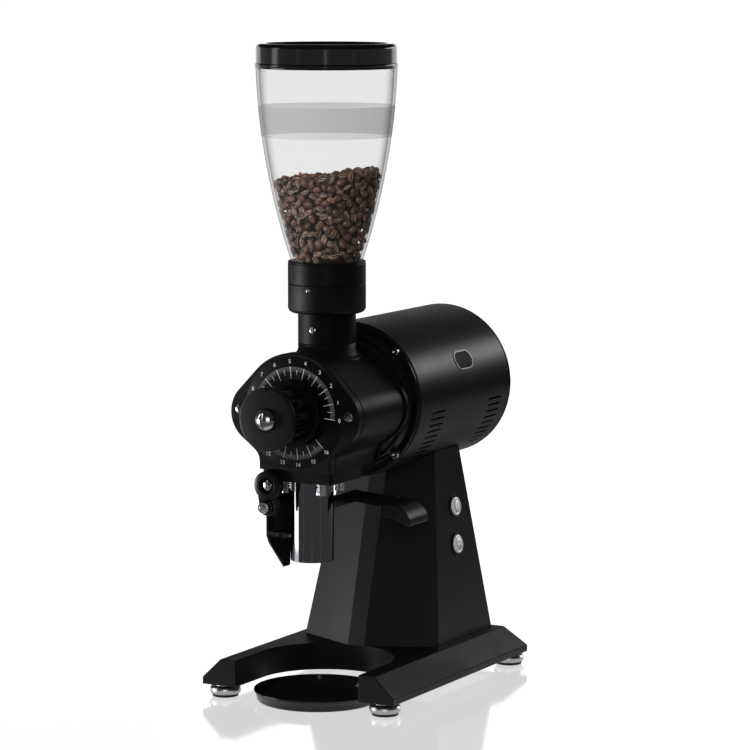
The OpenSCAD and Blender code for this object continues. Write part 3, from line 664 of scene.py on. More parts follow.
for first, length in ((15.5, 31), (152.5, 30)):
    for i in range(slots_in_row):
        for side in (1, -1):
            outline = arc((0, length - slot_width / 2), slot_width / 2, 0, 180, 6)
            outline += arc((0, slot_width / 2), slot_width / 2, 180, 360, 6)
            slot = shifted(raised(outline, 12), 0, first, motor_r - 8)
            turn_mesh(slot, side * (90 + lowest_slot + slot_pitch * i), "Y")
            slots.append(shifted(slot, 0, 0, shaft_z))
cut_away(shell, joined(slots))
keep_sharp(shell, 35)
# the round skin keeps its true normals, so that the cuts leave no streaks beside the slots
true_normals = []
for face in shell.data.polygons:
    for corner in face.loop_indices:
        place = shell.data.vertices[shell.data.loops[corner].vertex_index].co
        radial = Vector((place.x, 0, place.z - shaft_z / 1000))
        on_skin = abs(radial.length * 1000 - motor_r) < 0.05 and face.normal.dot(radial.normalized()) > 0.9
        found = shell.data.corner_normals[corner].vector.copy()
        true_normals.append(radial.normalized() if on_skin else found)
shell.data.normals_split_custom_set(true_normals)
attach(shell, "frame")
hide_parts("motor_shell")

# ---------------------------------------------------------------- motor end cap
# A spun steel cap pressed onto the tube behind the fan, with a rolled rim and a shallow dished middle.
cap_high = limits("motor_end_cap")[1]
cap_depth = cap_high.y - motor_high.y
rim = [(0, 0), (motor_r - 2.2, 0), (motor_r - 1.4, -0.2), (motor_r - 1.4, -1.0), (motor_r - 0.1, -1.5)]
rim += [(motor_r - 4 + 4 * math.cos(t), 4 - cap_depth - 4 * math.sin(t) - 0.01)
        for t in [math.radians(a) for a in range(6, 91, 12)]]
rim += [(motor_r - 11, -cap_depth), (motor_r - 14.5, 1.2 - cap_depth), (motor_r - 17, 2.4 - cap_depth),
        (24, 2.8 - cap_depth), (21, 2.0 - cap_depth), (8, 1.6 - cap_depth), (0, 1.5 - cap_depth)]
end_cap = finish(along_shaft(turned(rim, 192), motor_high.y), "motor_cap", motor_paint)
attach(end_cap, "frame")
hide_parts("motor_end_cap")

# ---------------------------------------------------------------- front bell
# A die cast bell carries the front bearing and joins motor and head. Its steps are machined, then painted
# gloss black, and four socket screws draw it to the tube.
head_rear = -29.5
front = motor_low.y
line = [(14, -1), (motor_r - motor_wall - 0.2, -1), (motor_r - motor_wall - 0.2, 0.2), (motor_r - 1.4, 0.3),
        (motor_r - 1.4, 2.6), (motor_r - 2.4, 3.8), (75.5, 4.3), (73.8, 6.2), (72.4, 8.4), (70.6, 9.2),
        (67.6, 9.6), (66.2, 11.4), (65.2, 13.8), (63.6, 14.8), (61.4, 15.2), (60, 16.7), (14, 16.7),
        (14, -1)]
gloss_cast = gloss("gloss_black_cast_bell", ("#050505", "#080808"), 0.2, 12, 0.06)
bell = finish(along_shaft(turned(line, 160), front), "motor_bell", gloss_cast, 0.5, 2)
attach(bell, "frame")
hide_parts("motor_front_bell")

# plain turned steel, zinc plated and bright
bright_steel = metal("bright_plated_steel", "#c9cbce", 0.2, (600, 600, 600), 0.03)
screws = []
screw_circle = 79.4
for x, z in arc((0, shaft_z), screw_circle, 45, 315, 3):
    head = turned([(0, 1.2), (2, 1.2), (2, 3.4), (3.5, 3.4), (4.1, 2.8), (4.2, 0), (0, 0)], 32)
    screws.append(along_shaft(head, front - 4.2, x, z))
bell_screws = finish(joined(screws), "bell_socket_screws", bright_steel, 0.15, 2)
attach(bell_screws, "frame")
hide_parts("bell_screws")

# ---------------------------------------------------------------- plain badge
# A small curved plate on the motor's flank: a brushed rim round a matt black field, with nothing written
# on it.
badge_low, badge_high = limits("motor_badge")
badge_y = (badge_low.y + badge_high.y) / 2
badge_turn = math.radians(25)
badge_silver = metal("brushed_silver_plate", "#a9abad", 0.4, (60, 900, 900), 0.05)
badge_black = powder_coat("matt_black_badge_field", ("#060606", "#090909"), 0.55, 0.6, 0.08, 0.1, 0.25)


def on_flank(grow, radius, thickness):
    """A rounded plate bent to the tube's curve and laid on its flank."""
    reach = badge_length / 2 - badge_end
    outline = arc((0, reach), badge_end + grow, 0, 180, 20) + arc((0, -reach), badge_end + grow, 180, 360,
                                                                  20)
    plate = raised(outline, 40)
    bmesh.ops.translate(plate, verts=plate.verts, vec=(0, 0, radius - 20))
    turn_mesh(plate, 90 - math.degrees(badge_turn), "Y")
    bent = finish(along_shaft(turned([(radius - 2, 0), (radius + thickness, 0), (radius + thickness, 80),
                                      (radius - 2, 80), (radius - 2, 0)], 256), badge_y + 40), "bent",
                  satin_black)
    cutter = finish(shifted(plate, 0, badge_y, shaft_z), "cutter", satin_black)
    keep = bent.modifiers.new("keep", "BOOLEAN")
    keep.operation = "INTERSECT"
    keep.object = cutter
    made = taken_back(bent)
    bpy.data.objects.remove(cutter)
    return made


badge_length = 40
badge_end = 11
badge_rim = finish(on_flank(0, motor_r, 0.7), "badge_rim", badge_silver, 0.15, 2)
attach(badge_rim, "frame")
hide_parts("motor_badge")
badge_field = finish(on_flank(-1.5, motor_r, 0.85), "badge_field", badge_black, 0.1, 2)
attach(badge_field, "frame")


# ---------------------------------------------------------------- grinder housing
# The head is one casting: a round burr chamber with two screw lobes, a square foot over the outlet and a neck
# on top. Its flanks are machined smooth and painted satin black, with a lip at each end.
lobe_x, lobe_z, lobe_r, head_r = 44, -2.5, 34, 64
leg_half, leg_low = 43, 255.5


def rounded(corners):
    """A closed outline of (x, y, radius) corners as points, each corner turned on its own radius."""
    line = []
    for i, (x, y, radius) in enumerate(corners):
        here = Vector((x, y))
        before = Vector(corners[i - 1][:2]) - here
        after = Vector(corners[(i + 1) % len(corners)][:2]) - here
        if not radius:
            line.append((x, y))
            continue
        half = before.angle(after) / 2
        reach = min(radius / math.tan(half), before.length * 0.49, after.length * 0.49)
        radius = reach * math.tan(half)
        centre = here + (before.normalized() + after.normalized()).normalized() * radius / math.sin(half)
        first = here + before.normalized() * reach - centre
        last = here + after.normalized() * reach - centre
        steps = 8
        for k in range(steps + 1):
            spoke = first.lerp(last, k / steps).normalized() * radius
            line.append(tuple(centre + spoke))
    return line


def head_outline(grow):
    """The head seen from the front, round the shaft: disc, lobes, the lines that touch both, and the foot."""
    fall = math.degrees(math.atan2(lobe_z, lobe_x))
    turn = math.degrees(math.acos((head_r - lobe_r) / math.hypot(lobe_x, lobe_z)))
    line = arc((0, 0), head_r + grow, fall + turn, 180 - fall - turn, 48)
    line += arc((-lobe_x, lobe_z), lobe_r + grow, 180 - fall - turn, 180 - fall + turn, 30)
    foot = leg_half + grow
    low = leg_low - shaft_z
    bend = rounded([(*line[-1], 0), (-foot, -46.5, 26), (-foot, low, 0)])[1:-1]
    line += bend + [(-foot, low), (foot, low)]
    line += [(-x, z) for x, z in reversed(bend)]
    line += arc((lobe_x, lobe_z), lobe_r + grow, fall - turn, fall + turn, 30)
    return line


def upright(outline, thickness, front_y):
    """An outline drawn in X and Z round the shaft, made a plate whose front face is at front_y."""
    plate = raised(outline, thickness)
    turn_mesh(plate, 90, "X")
    return shifted(plate, 0, front_y + thickness, shaft_z)


cover_back = -127
neck_y, neck_r = -68, 31.1
neck_joint = 387
chamber_r, shaft_bore, feed_bore, outlet_bore = 57, 19, 17, 18
spout_y = -101
machined_black = powder_coat("satin_black_machined_casting", ("#050505", "#080808"), 0.42, 2.0, 0.03, 0.1,
                             0.3)
housing = finish(upright(head_outline(-0.9), head_rear - cover_back, cover_back), "head_casting",
                 machined_black,
                 1.2, 3, 40)
cut_away(housing,
         along_shaft(rod(chamber_r, 43, 96), -84),
         along_shaft(rod(shaft_bore, 90, 64), -20),
         shifted(rod(feed_bore, 120, 64), 0, neck_y + 3.5, shaft_z),
         shifted(rod(outlet_bore, 70, 64), 0, spout_y, leg_low - 5))
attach(housing, "frame")
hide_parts("grinder_housing")
for name, grow, deep, at, bore in (("front", 0, 3.4, cover_back, chamber_r),
                                   ("rear", 1.6, 6, head_rear - 6, shaft_bore + 0.2)):
    lip = finish(upright(head_outline(grow), deep, at), "head_lip_" + name, machined_black, 0.7, 2, 40)
    cut_away(lip, along_shaft(rod(bore, 60, 96), at + 30))
    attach(lip, "frame")


def on_head(bm):
    """Drops a mesh drawn round the neck onto the head's round top."""
    for v in bm.verts:
        v.co.z += math.sqrt(max(head_r * head_r - v.co.x * v.co.x, 400)) + shaft_z
    return shifted(bm, 0, neck_y, 0)


sweep_r = 5.5
neck_foot = [(neck_r - 3, -4), (neck_r - 3, sweep_r)]
neck_foot += [(neck_r + sweep_r - sweep_r * math.cos(t), sweep_r - sweep_r * math.sin(t) - 0.3)
              for t in [math.radians(a) for a in range(0, 91, 15)]]
neck_foot += [(neck_r + sweep_r, -4), (neck_r - 3, -4)]
neck_sweep = finish(on_head(turned(neck_foot, 128)), "neck_sweep", machined_black)
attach(neck_sweep, "frame")
neck_start = 344.5
neck_height = neck_joint - neck_start
neck_tube = turned([(24, 0), (neck_r, 0), (neck_r, neck_height - 0.5), (neck_r - 0.5, neck_height),
                    (24, neck_height), (24, 0)], 128)
neck = finish(shifted(neck_tube, 0, neck_y, neck_start), "head_neck", machined_black)
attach(neck, "frame")

# ---------------------------------------------------------------- front cover
# The cover that holds the fixed side of the adjusting gear: the same outline as the head, machined flat,
# with a broad eased edge. Two bright slotted screws go through its lobes.
cover_low = limits("front_cover")[0]
cover_face = cover_low.y
cover = finish(upright(head_outline(0), cover_back - cover_face - 0.5, cover_face), "head_cover",
               machined_black,
               1.9, 4, 40)
cut_away(cover, along_shaft(rod(10.1, 60, 64), cover_face + 30))
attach(cover, "frame")
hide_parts("front_cover")

lobe_screw_x = 66
screws = []
for x, slant in ((-lobe_screw_x, 25), (lobe_screw_x, 8)):
    head = pan_head(5.7, 2.6, 1.1)
    turn_mesh(head, 90 - slant, "Z")
    screws.append(along_shaft(head, cover_face, x, shaft_z + 0.8))
cover_screws = finish(joined(screws), "cover_slotted_screws", bright_steel, 0.2, 2)
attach(cover_screws, "frame")
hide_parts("cover_screws")

# ---------------------------------------------------------------- dial
# A thin anodised plate with the grind scale screen printed in white from 0 to 16: long lines for the numbers,
# short ones for the halves, and a grey track of fine lines between them.
dial_low, dial_high = limits("dial_plate")
dial_r = dial_high.x
dial_face = dial_low.y
anodised = powder_coat("black_anodised_aluminium", ("#050505", "#070707"), 0.4, 0.9, 0.04, 0.12, 0.25)
dial = finish(along_shaft(turned([(10.1, 0), (dial_r, 0), (dial_r, 0.9), (dial_r - 0.4, 1.2), (10.1, 1.2),
                                  (10.1, 0)], 160), dial_high.y), "dial_disc", anodised)
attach(dial, "frame")
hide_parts("dial_plate")

zero_angle = -4.86
step_angle = 20


def tick(angle, inner, outer, width):
    """One printed line of the scale."""
    line = block((outer - inner, width, 0.06), ((inner + outer) / 2, 0, 0.03))
    turn_mesh(line, angle, "Z")
    return line


def printed(text, size, x, y):
    """Generic figures of the scale as a thin flat mesh."""
    type_face = bpy.data.curves.new("figure", "FONT")
    type_face.body = text
    type_face.size = size
    type_face.align_x = "CENTER"
    type_face.align_y = "CENTER"
    type_face.extrude = 0.03
    holder = bpy.data.objects.new("figure", type_face)
    scene.collection.objects.link(holder)
    flat = bpy.data.meshes.new_from_object(holder.evaluated_get(bpy.context.evaluated_depsgraph_get()))
    figure = bmesh.new()
    figure.from_mesh(flat)
    bpy.data.objects.remove(holder)
    bpy.data.meshes.remove(flat)
    return shifted(figure, x, y, 0.04)


white_ink = powder_coat("white_screen_print", ("#c8c8c8", "#e2e2e2"), 0.55, 0.5, 0.1)
grey_ink = powder_coat("grey_screen_print", ("#4c4c4d", "#5c5c5d"), 0.55, 0.5, 0.1)
last_figure = 16
line_end, figures_r = 49.6, 55.2
marks = [tick(zero_angle + i * step_angle, 37, line_end, 0.55) for i in range(last_figure + 1)]
marks += [tick(zero_angle + (i + 0.5) * step_angle, 41, 46.4, 0.4) for i in range(last_figure)]
last_angle = zero_angle + last_figure * step_angle
for i, at in enumerate(arc((0, 0), figures_r, zero_angle, last_angle, last_figure)):
    marks.append(printed(str(i), 6.0, *at))
scale = finish(along_shaft(joined(marks), dial_face), "dial_scale", white_ink)
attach(scale, "frame")
fine = [tick(zero_angle + i * step_angle / 10, 44.2, line_end, 0.95)
        for i in range(last_figure * 10 + 1) if i % 10]
track = finish(along_shaft(joined(fine), dial_face + 0.01), "dial_track", grey_ink)
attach(track, "frame")

# ---------------------------------------------------------------- adjusting knob
# The knob turns the screw that opens the burrs: a notched index wheel, a deep fluted grip of moulded resin,
# a flat face disc and one domed and slotted steel nut in front.
wheel_low = limits("index_wheel")[0]
grip_low, grip_high = limits("fluted_grip")
disc_low, disc_high = limits("knob_disc")
nut_low = limits("dome_nut")[0]


def lobed(mean, swing, count, steps, sharp=1.0, phase=0.0):
    """A round outline with a number of soft lobes and tighter valleys."""
    points = []
    for i in range(steps):
        t = math.tau * i / steps
        wave = abs(math.cos(count * t / 2 + phase)) ** sharp
        points.append(((mean + swing * wave) * math.cos(t), (mean + swing * wave) * math.sin(t)))
    return points


def skinned(rings):
    """A closed skin over a stack of rings of points."""
    bm = bmesh.new()
    loops = []
    for points in rings:
        ring = [bm.verts.new(point) for point in points]
        loops.append([bm.edges.new((a, b)) for a, b in zip(ring, ring[1:] + ring[:1])])
    for a, b in zip(loops, loops[1:]):
        bmesh.ops.bridge_loops(bm, edges=a + b)
    bmesh.ops.holes_fill(bm, edges=bm.edges, sides=0)
    bmesh.ops.recalc_face_normals(bm, faces=bm.faces)
    return bm


def as_disc(outline, front_y, depth):
    """A lobed outline as a disc on the shaft, from its front face back."""
    return along_shaft(raised(outline, depth), front_y + depth)


gloss_resin = gloss("gloss_black_resin", ("#050505", "#080808"), 0.16, 9, 0.05)
wheel = finish(as_disc(lobed(33.0, 1.5, 30, 360, 0.8), wheel_low.y, 5), "index_wheel_notched", gloss_resin,
               0.5, 2, 50)
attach(wheel, "knob")
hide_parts("index_wheel")
grip_r = grip_high.x
grip_depth = grip_high.y - grip_low.y
flute = 5.2
grip_rings = [[(x, y, place) for x, y in lobed(grip_r - flute - shrink, flute, 10, 200, 0.62)]
              for place, shrink in ((0, 1.6), (1.2, 0.3), (3, 0), (grip_depth - 9, 0), (grip_depth - 5, 0.6),
                                    (grip_depth - 2, 2.4), (grip_depth, 5.5))]
grip = finish(along_shaft(skinned(grip_rings), grip_high.y), "grip_fluted", gloss_resin)
keep_sharp(grip, 50)
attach(grip, "knob")
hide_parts("fluted_grip")
disc_r = disc_high.x
disc_line = [(0, 0), (disc_r - 1.2, 0), (disc_r - 0.3, 0.5), (disc_r, 1.4), (disc_r, 3.4),
             (disc_r - 0.4, 4.3), (disc_r - 1.2, 4.8), (disc_r - 2.4, 5), (13.4, 5), (13, 4.4), (0, 4.4)]
satin_resin = gloss("satin_black_resin", ("#060606", "#090909"), 0.36, 30, 0.02)
disc = finish(along_shaft(turned(disc_line, 128), disc_high.y), "knob_face", satin_resin)
keep_sharp(disc, 40)
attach(disc, "knob")
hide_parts("knob_disc")

dome_h = disc_low.y - nut_low.y
dome_line = [(0, dome_h * 0.95)] + [(12 * math.sin(t), dome_h * math.cos(t) * 0.94 + 0.02)
                                    for t in [math.radians(a) for a in range(10, 91, 8)]]
dome_line += [(12, 0), (11.4, -0.6), (0, -0.6)]
dome = finish(along_shaft(turned(dome_line, 96), disc_low.y), "dome_nut_slotted", turned_chrome)
cut_away(dome, block((2.1, 5.2, 40), (0, nut_low.y + 1.4, shaft_z)))
keep_sharp(dome, 40)
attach(dome, "knob")
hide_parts("dome_nut")

# the pointer is a thin blackened steel blade that reaches out from behind the wheel
pointer_turn = math.radians(75)
blade = raised([(29, -0.9), (43, -0.35), (44, 0), (43, 0.35), (29, 0.9)], 1.0)
turn_mesh(blade, math.degrees(pointer_turn), "Z")
pointer_high = limits("pointer")[1]
pointer = finish(along_shaft(blade, pointer_high.y), "pointer_blade", black_oxide, 0.2, 2)
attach(pointer, "knob")
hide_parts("pointer")


# ---------------------------------------------------------------- outlet flange
# A thick plate under the head, drawn up by four knurled thumb screws, that holds the outlet tube.
flange_half = 33.5
plan = rounded([(x, spout_y + y, 3) for x, y in ((1 - leg_half, -flange_half), (leg_half - 1, -flange_half),
                                                  (leg_half - 1, flange_half), (1 - leg_half, flange_half))])
flange_bottom = 243
flange = finish(shifted(raised(plan, leg_low - flange_bottom - 0.4), 0, 0, flange_bottom),
                "outlet_flange_plate", machined_black, 1.0, 3, 40)
tube_low, tube_high = limits("outlet_tube")
tube_r = tube_high.x
cut_away(flange, shifted(rod(tube_r - 1.8, 40, 72), 0, spout_y, 230))
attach(flange, "frame")
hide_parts("outlet_flange")

# ---------------------------------------------------------------- outlet tube
# A drawn steel tube, polished, then plated black and left bright, so it mirrors the room in long streaks.
black_chrome = metal("polished_black_chrome", "#7a7a7e", 0.07, (30, 30, 6), 0.02, 0.15)
tube_line = [(tube_r - 1.7, 0.3), (tube_r - 1.3, 0), (tube_r - 0.4, 0), (tube_r, 0.4),
             (tube_r, tube_high.z - tube_low.z),
             (tube_r - 1.7, tube_high.z - tube_low.z), (tube_r - 1.7, 0.3)]
tube = finish(shifted(turned(tube_line, 128), 0, spout_y, tube_low.z), "outlet_pipe", black_chrome)
keep_sharp(tube, 25)
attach(tube, "frame")
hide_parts("outlet_tube")


def knurled(radius, height, teeth, waist=0.0):
    """A knurled turned head standing on Z, with grooves that leave bands if a waist is given."""
    outline = []
    for i in range(teeth * 2):
        t = math.pi * i / teeth
        r = radius - (0.45 if i % 2 else 0)
        outline.append((r * math.cos(t), r * math.sin(t)))
    levels = [(0, 0.8), (0.5, 0)]
    if waist:
        for k in (1, 2):
            at = height * k / 3
            levels += [(at - 0.5, 0), (at - 0.2, waist), (at + 0.2, waist), (at + 0.5, 0)]
    levels += [(height - 0.6, 0), (height, 0.9)]
    rings = []
    for z, shrink in levels:
        share = (radius - shrink) / radius
        rings.append([(x * share, y * share, z) for x, y in outline])
    return skinned(rings)


thumb_x, thumb_y = 22.5, 20
bolts = [shifted(knurled(5.2, 14, 18, 0.8), x, spout_y + y, flange_bottom - 14)
         for x in (-thumb_x, thumb_x) for y in (-thumb_y, thumb_y)]
thumb_screws = finish(joined(bolts), "flange_thumb_screws", turned_chrome)
keep_sharp(thumb_screws, 30)
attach(thumb_screws, "frame")
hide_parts("outlet_thumb_screws")

# ---------------------------------------------------------------- clamp hub
# The bag clamp swings on a bolt in front of the flange: a thick round hub with a deep counterbore
# and a bent steel plate, all powder coated, held by a knurled screw with a black washer.
pivot_x, pivot_z = -31, 239
screw_z = 215.5
hub_high = limits("clamp_hub")[1]
hub_back = hub_high.y
gloss_coat = gloss("gloss_black_clamp_coat", ("#060606", "#0a0a0a"), 0.22, 8, 0.05)


def on_front(bm, x, z, y):
    """Turns a mesh that stands on Z to face the front, with its foot at y."""
    return along_shaft(bm, y, x, z)


hub_line = [(9, 10), (9, 4), (4.1, 4), (4.1, 0), (15.7, 0), (15.7, 8.8), (15.2, 9.6), (14.4, 10), (9, 10)]
hub = finish(on_front(turned(hub_line, 96), pivot_x, pivot_z, hub_back), "clamp_hub_boss", gloss_coat, 0.3,
             2, 40)
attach(hub, "clamp")
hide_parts("clamp_hub")
web_plan = rounded([(-45.5, 232, 0), (-41.5, 209, 2), (-37, 206, 2), (-27, 206, 4), (-22, 213, 5),
                    (-19, 230, 0)])
web = finish(upright([(x, z - shaft_z) for x, z in web_plan], 5, hub_back - 5), "clamp_hub_web",
             gloss_coat, 0.6, 3, 40)
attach(web, "clamp")

bolt_head = finish(on_front(pan_head(6.2, 4.4, 1.4), pivot_x, pivot_z, hub_back - 4.5), "clamp_pivot_head",
                   turned_chrome, 0.25, 2)
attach(bolt_head, "frame")
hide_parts("clamp_pivot_bolt")

washer = turned([(2, 5), (7.4, 5), (7.6, 5.3), (7.6, 6.7), (7.2, 7), (2, 7), (2, 5)], 64)
nut_head = shifted(knurled(6.4, 7, 20), 0, 0, 7)
clamp_washer = finish(on_front(washer, -33.5, screw_z, hub_back), "clamp_washer", gloss_black, 0.1, 2)
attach(clamp_washer, "clamp")
tip = turned([(0, 13.6), (3.4, 13.6), (3.6, 14.4), (3.0, 15), (0, 15)], 40)
clamp_nut = finish(on_front(joined([nut_head, tip]), -33.5, screw_z, hub_back), "clamp_knurled_nut",
                   turned_chrome)
keep_sharp(clamp_nut, 30)
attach(clamp_nut, "clamp")
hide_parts("clamp_thumb_screw")

# ---------------------------------------------------------------- clamp plate
# Laser cut sheet, bent once: it hangs beside the tube and its lower part leans in under it to a blunt tip.
plate_x, plate_t, tip_half = -39, 2.5, 6
fold_z, tip_z, taper_z, plate_top = 173.5, 144, 182, 227
lean = math.radians(17)
strap_y = -73


def reach(z):
    """Half the plate's width where it tapers."""
    return tip_half + (27 - tip_half) * (z - tip_z) / (taper_z - tip_z)


plate_mesh = bmesh.new()
side = [(-128, plate_top), (strap_y, plate_top), (strap_y, taper_z), (spout_y + reach(fold_z), fold_z),
        (spout_y - reach(fold_z), fold_z), (-128, taper_z)]
corners = [plate_mesh.verts.new((plate_x - plate_t, y, z)) for y, z in side]
plate_mesh.faces.new(corners)
drop = (fold_z - tip_z) * math.cos(lean)
lean_x = (fold_z - tip_z) * math.sin(lean)
tip = [plate_mesh.verts.new((plate_x - plate_t + lean_x, spout_y + y, fold_z - drop))
       for y in (tip_half, -tip_half)]
plate_mesh.faces.new((corners[4], corners[3], *tip))
bmesh.ops.recalc_face_normals(plate_mesh, faces=plate_mesh.faces)
plate = finish(plate_mesh, "clamp_side_plate", gloss_coat)
thick = plate.modifiers.new("sheet", "SOLIDIFY")
thick.thickness = plate_t / 1000
thick.offset = 1.0 if plate.data.polygons[0].normal.x > 0 else -1.0
thick.use_even_offset = True
ease(plate, 0.5, 2, 40)
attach(plate, "clamp")
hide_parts("clamp_plate")

# ---------------------------------------------------------------- clamp spring
# A short steel compression spring between the plate's upper edge and the flange.


def coil(radius, wire, height, turns):
    """A helix of round wire standing on Z, its ends closed."""
    bm = bmesh.new()
    ring = bmesh.ops.create_circle(bm, cap_ends=False, radius=wire, segments=10)["verts"]
    bmesh.ops.rotate(bm, verts=ring, cent=(0, 0, 0), matrix=Matrix.Rotation(math.radians(90), 3, "X"))
    bmesh.ops.translate(bm, verts=ring, vec=(radius, 0, 0))
    steps = int(turns * 28)
    bmesh.ops.spin(bm, geom=ring + bm.edges[:], cent=(0, 0, 0), axis=(0, 0, 1), dvec=(0, 0, height / steps),
                   angle=math.tau * turns, steps=steps)
    bmesh.ops.holes_fill(bm, edges=bm.edges, sides=0)
    bmesh.ops.recalc_face_normals(bm, faces=bm.faces)
    return bm


spring_low, spring_high = limits("clamp_spring")
spring = finish(shifted(coil(2.9, 0.62, spring_high.z - spring_low.z - 1.4, 5.5), plate_x, strap_y - 9,
                        spring_low.z + 0.7),
                "clamp_coil_spring", bright_steel)
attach(spring, "frame")
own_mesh(spring)
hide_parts("clamp_spring")

# ---------------------------------------------------------------- striker
# The plate's steel stud: a hexagon behind, a turned head that meets the tube in front.
stud = turned([(0, plate_x - 8), (2.4, plate_x - 8), (2.4, plate_x), (0, plate_x)], 32)
hexagon = shifted(raised(arc((0, 0), 4.4, 0, 300, 5), 5.3), 0, 0, plate_x)
button = turned([(0, plate_x + 5.3), (3.8, plate_x + 5.3), (3.8, -tube_r - 1.6), (3.2, -tube_r - 0.8),
                 (0, -tube_r - 0.7)], 40)
striker_mesh = joined([stud, hexagon, button])
turn_mesh(striker_mesh, 90, "Y")
striker = finish(shifted(striker_mesh, 0, spout_y, 180), "clamp_striker", bright_steel, 0.25, 2)
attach(striker, "clamp")
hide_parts("striker_stud")

# ---------------------------------------------------------------- strap and paddle
# A bent strap runs behind the tube and out to the right, and ends in a paddle that the hand pushes.
arm_x, arm_y, strap_z, strap_h, strap_t = 10, -24, 207.5, 13.5, 3
walk = [(plate_x - plate_t, strap_y + strap_t), (arm_x - 3, strap_y + strap_t), (arm_x - 3, arm_y + 3),
        (62, arm_y + 3), (62, arm_y), (arm_x, arm_y), (arm_x, strap_y), (plate_x - plate_t, strap_y)]
strap_mesh = raised(walk, strap_h)
for v in strap_mesh.verts:
    if v.co.x > 60:
        v.co.z -= 4.5
strap = finish(shifted(strap_mesh, 0, 0, strap_z), "clamp_bent_strap", gloss_coat, 0.6, 3, 40)
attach(strap, "clamp")
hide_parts("clamp_strap")

back_curve = [(76 + 24 * math.sin(math.radians(90 - a)), 191 + 24.5 * math.sin(math.radians(a)))
              for a in range(20, 91, 5)]
wedge = [(62, 202.5), (66, 202.2), (72, 201.2), (78, 200.2), (84, 198.2), (90, 195.4), (96, 192.6),
         (98.2, 194.0)]
wedge += back_curve + [(62, 216.5)]
paddle_low, paddle_high = limits("side_paddle")
paddle = finish(upright([(x, z - shaft_z) for x, z in wedge], paddle_high.y - paddle_low.y, paddle_low.y),
                "lever_paddle", satin_black, 1.3, 4, 32)
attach(paddle, "clamp")
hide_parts("side_paddle")


# ---------------------------------------------------------------- neck adapter and collar
# A turned sleeve on the head's neck carries a wider collar. Both are black anodised: the collar's foot is
# blasted matt, the shut-off ring above it is polished. Two small bright screws lock them.
collar_low, collar_high = limits("collar_sleeve")
ring_high = limits("shutoff_ring")[1]
collar_r = collar_high.x
adapter_line = [(21, 0), (neck_r, 0), (neck_r, collar_low.z - neck_joint), (21, collar_low.z - neck_joint),
                (21, 0)]
adapter = finish(shifted(turned(adapter_line, 128), 0, neck_y, neck_joint), "neck_sleeve", machined_black,
                 0.35, 2, 40)
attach(adapter, "frame")
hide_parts("neck_adapter")
collar_height = collar_high.z - collar_low.z
collar_line = [(21.2, 0), (collar_r - 4.4, 0), (collar_r - 1.6, 1.5), (collar_r, 4.4),
               (collar_r, collar_height - 0.4),
               (collar_r - 0.4, collar_height), (37, collar_height), (37, 14), (21.2, 14), (21.2, 0)]
matt_collar = powder_coat("matt_black_blasted_collar", ("#040404", "#070707"), 0.48, 0.9, 0.05)
collar = finish(shifted(turned(collar_line, 128), 0, neck_y, collar_low.z), "collar_foot", matt_collar, 0.4,
                2, 40)
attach(collar, "frame")
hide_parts("collar_sleeve")
ring_height = ring_high.z - collar_high.z - 0.4
ring_line = [(36, 0), (collar_r, 0), (collar_r, ring_height - 3), (collar_r - 0.7, ring_height - 2.6),
             (collar_r - 0.7, ring_height - 2), (collar_r, ring_height - 1.6),
             (collar_r - 0.2, ring_height - 0.5),
             (collar_r - 0.9, ring_height), (36, ring_height), (36, 0)]
polished_ring = gloss("polished_black_ring", ("#060606", "#0a0a0a"), 0.34, 30, 0.02)
ring = finish(shifted(turned(ring_line, 128), 0, neck_y, ring_high.z - ring_height), "shutoff_ring_band",
              polished_ring, 0.25, 2, 40)
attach(ring, "hopper_unit")
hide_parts("shutoff_ring")

small = [on_front(pan_head(4.1, 1.5, 0.9), 0, 402.3, neck_y - neck_r + 0.15),
         on_front(pan_head(2.1, 0.6, 0.5), 0, 445.6, neck_y - collar_r + 0.05)]
neck_screws = finish(joined(small), "neck_lock_screws", bright_steel, 0.15, 2)
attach(neck_screws, "frame")
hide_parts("neck_screws")

# ---------------------------------------------------------------- hopper
# A clear blow moulded cup with a gentle bow, about three millimetres thick, so its wall shows as a pale
# double line at each side. A smoke grey band is printed round its upper part.
hopper_high = limits("hopper")[1]
hopper_r = hopper_high.x
lid_high = limits("hopper_lid")[1]
wall = 3
cup_neck = 36
cup_foot = ring_high.z + 0.4
cup_arc = 739


def cup_r(z):
    """The cup's outside radius at a height, on its long arc."""
    return hopper_r - cup_arc + math.sqrt(cup_arc ** 2 - (lid_high.z + 1 - z) ** 2)


def see_through(tree, shader, share, tint):
    """Lets light pass straight through a surface, apart from a share of it."""
    through = add(tree, "ShaderNodeBsdfTransparent", {"Color": linear(tint)})
    blend = add(tree, "ShaderNodeMixShader", {0: share, 1: through.outputs[0], 2: shader.outputs[0]})
    tree.links.new(blend.outputs[0], tree.nodes["Material Output"].inputs["Surface"])


clear_plastic, tree, skin = surface("clear_copolyester")
dress(skin, tree, Base_Color=linear("#b9bcbc"), Roughness=0.06, IOR=1.52,
      Normal=relieved(tree, grains(tree, 22.0, 2.0), 0.04, 0.002))
facing = add(tree, "ShaderNodeLayerWeight", {"Blend": 0.5}).outputs["Facing"]
body = spread(tree, facing, 0.45, 1.0, 0.02, 0.5, interpolation_type="SMOOTHSTEP")
see_through(tree, skin, body, "#f9f9f9")

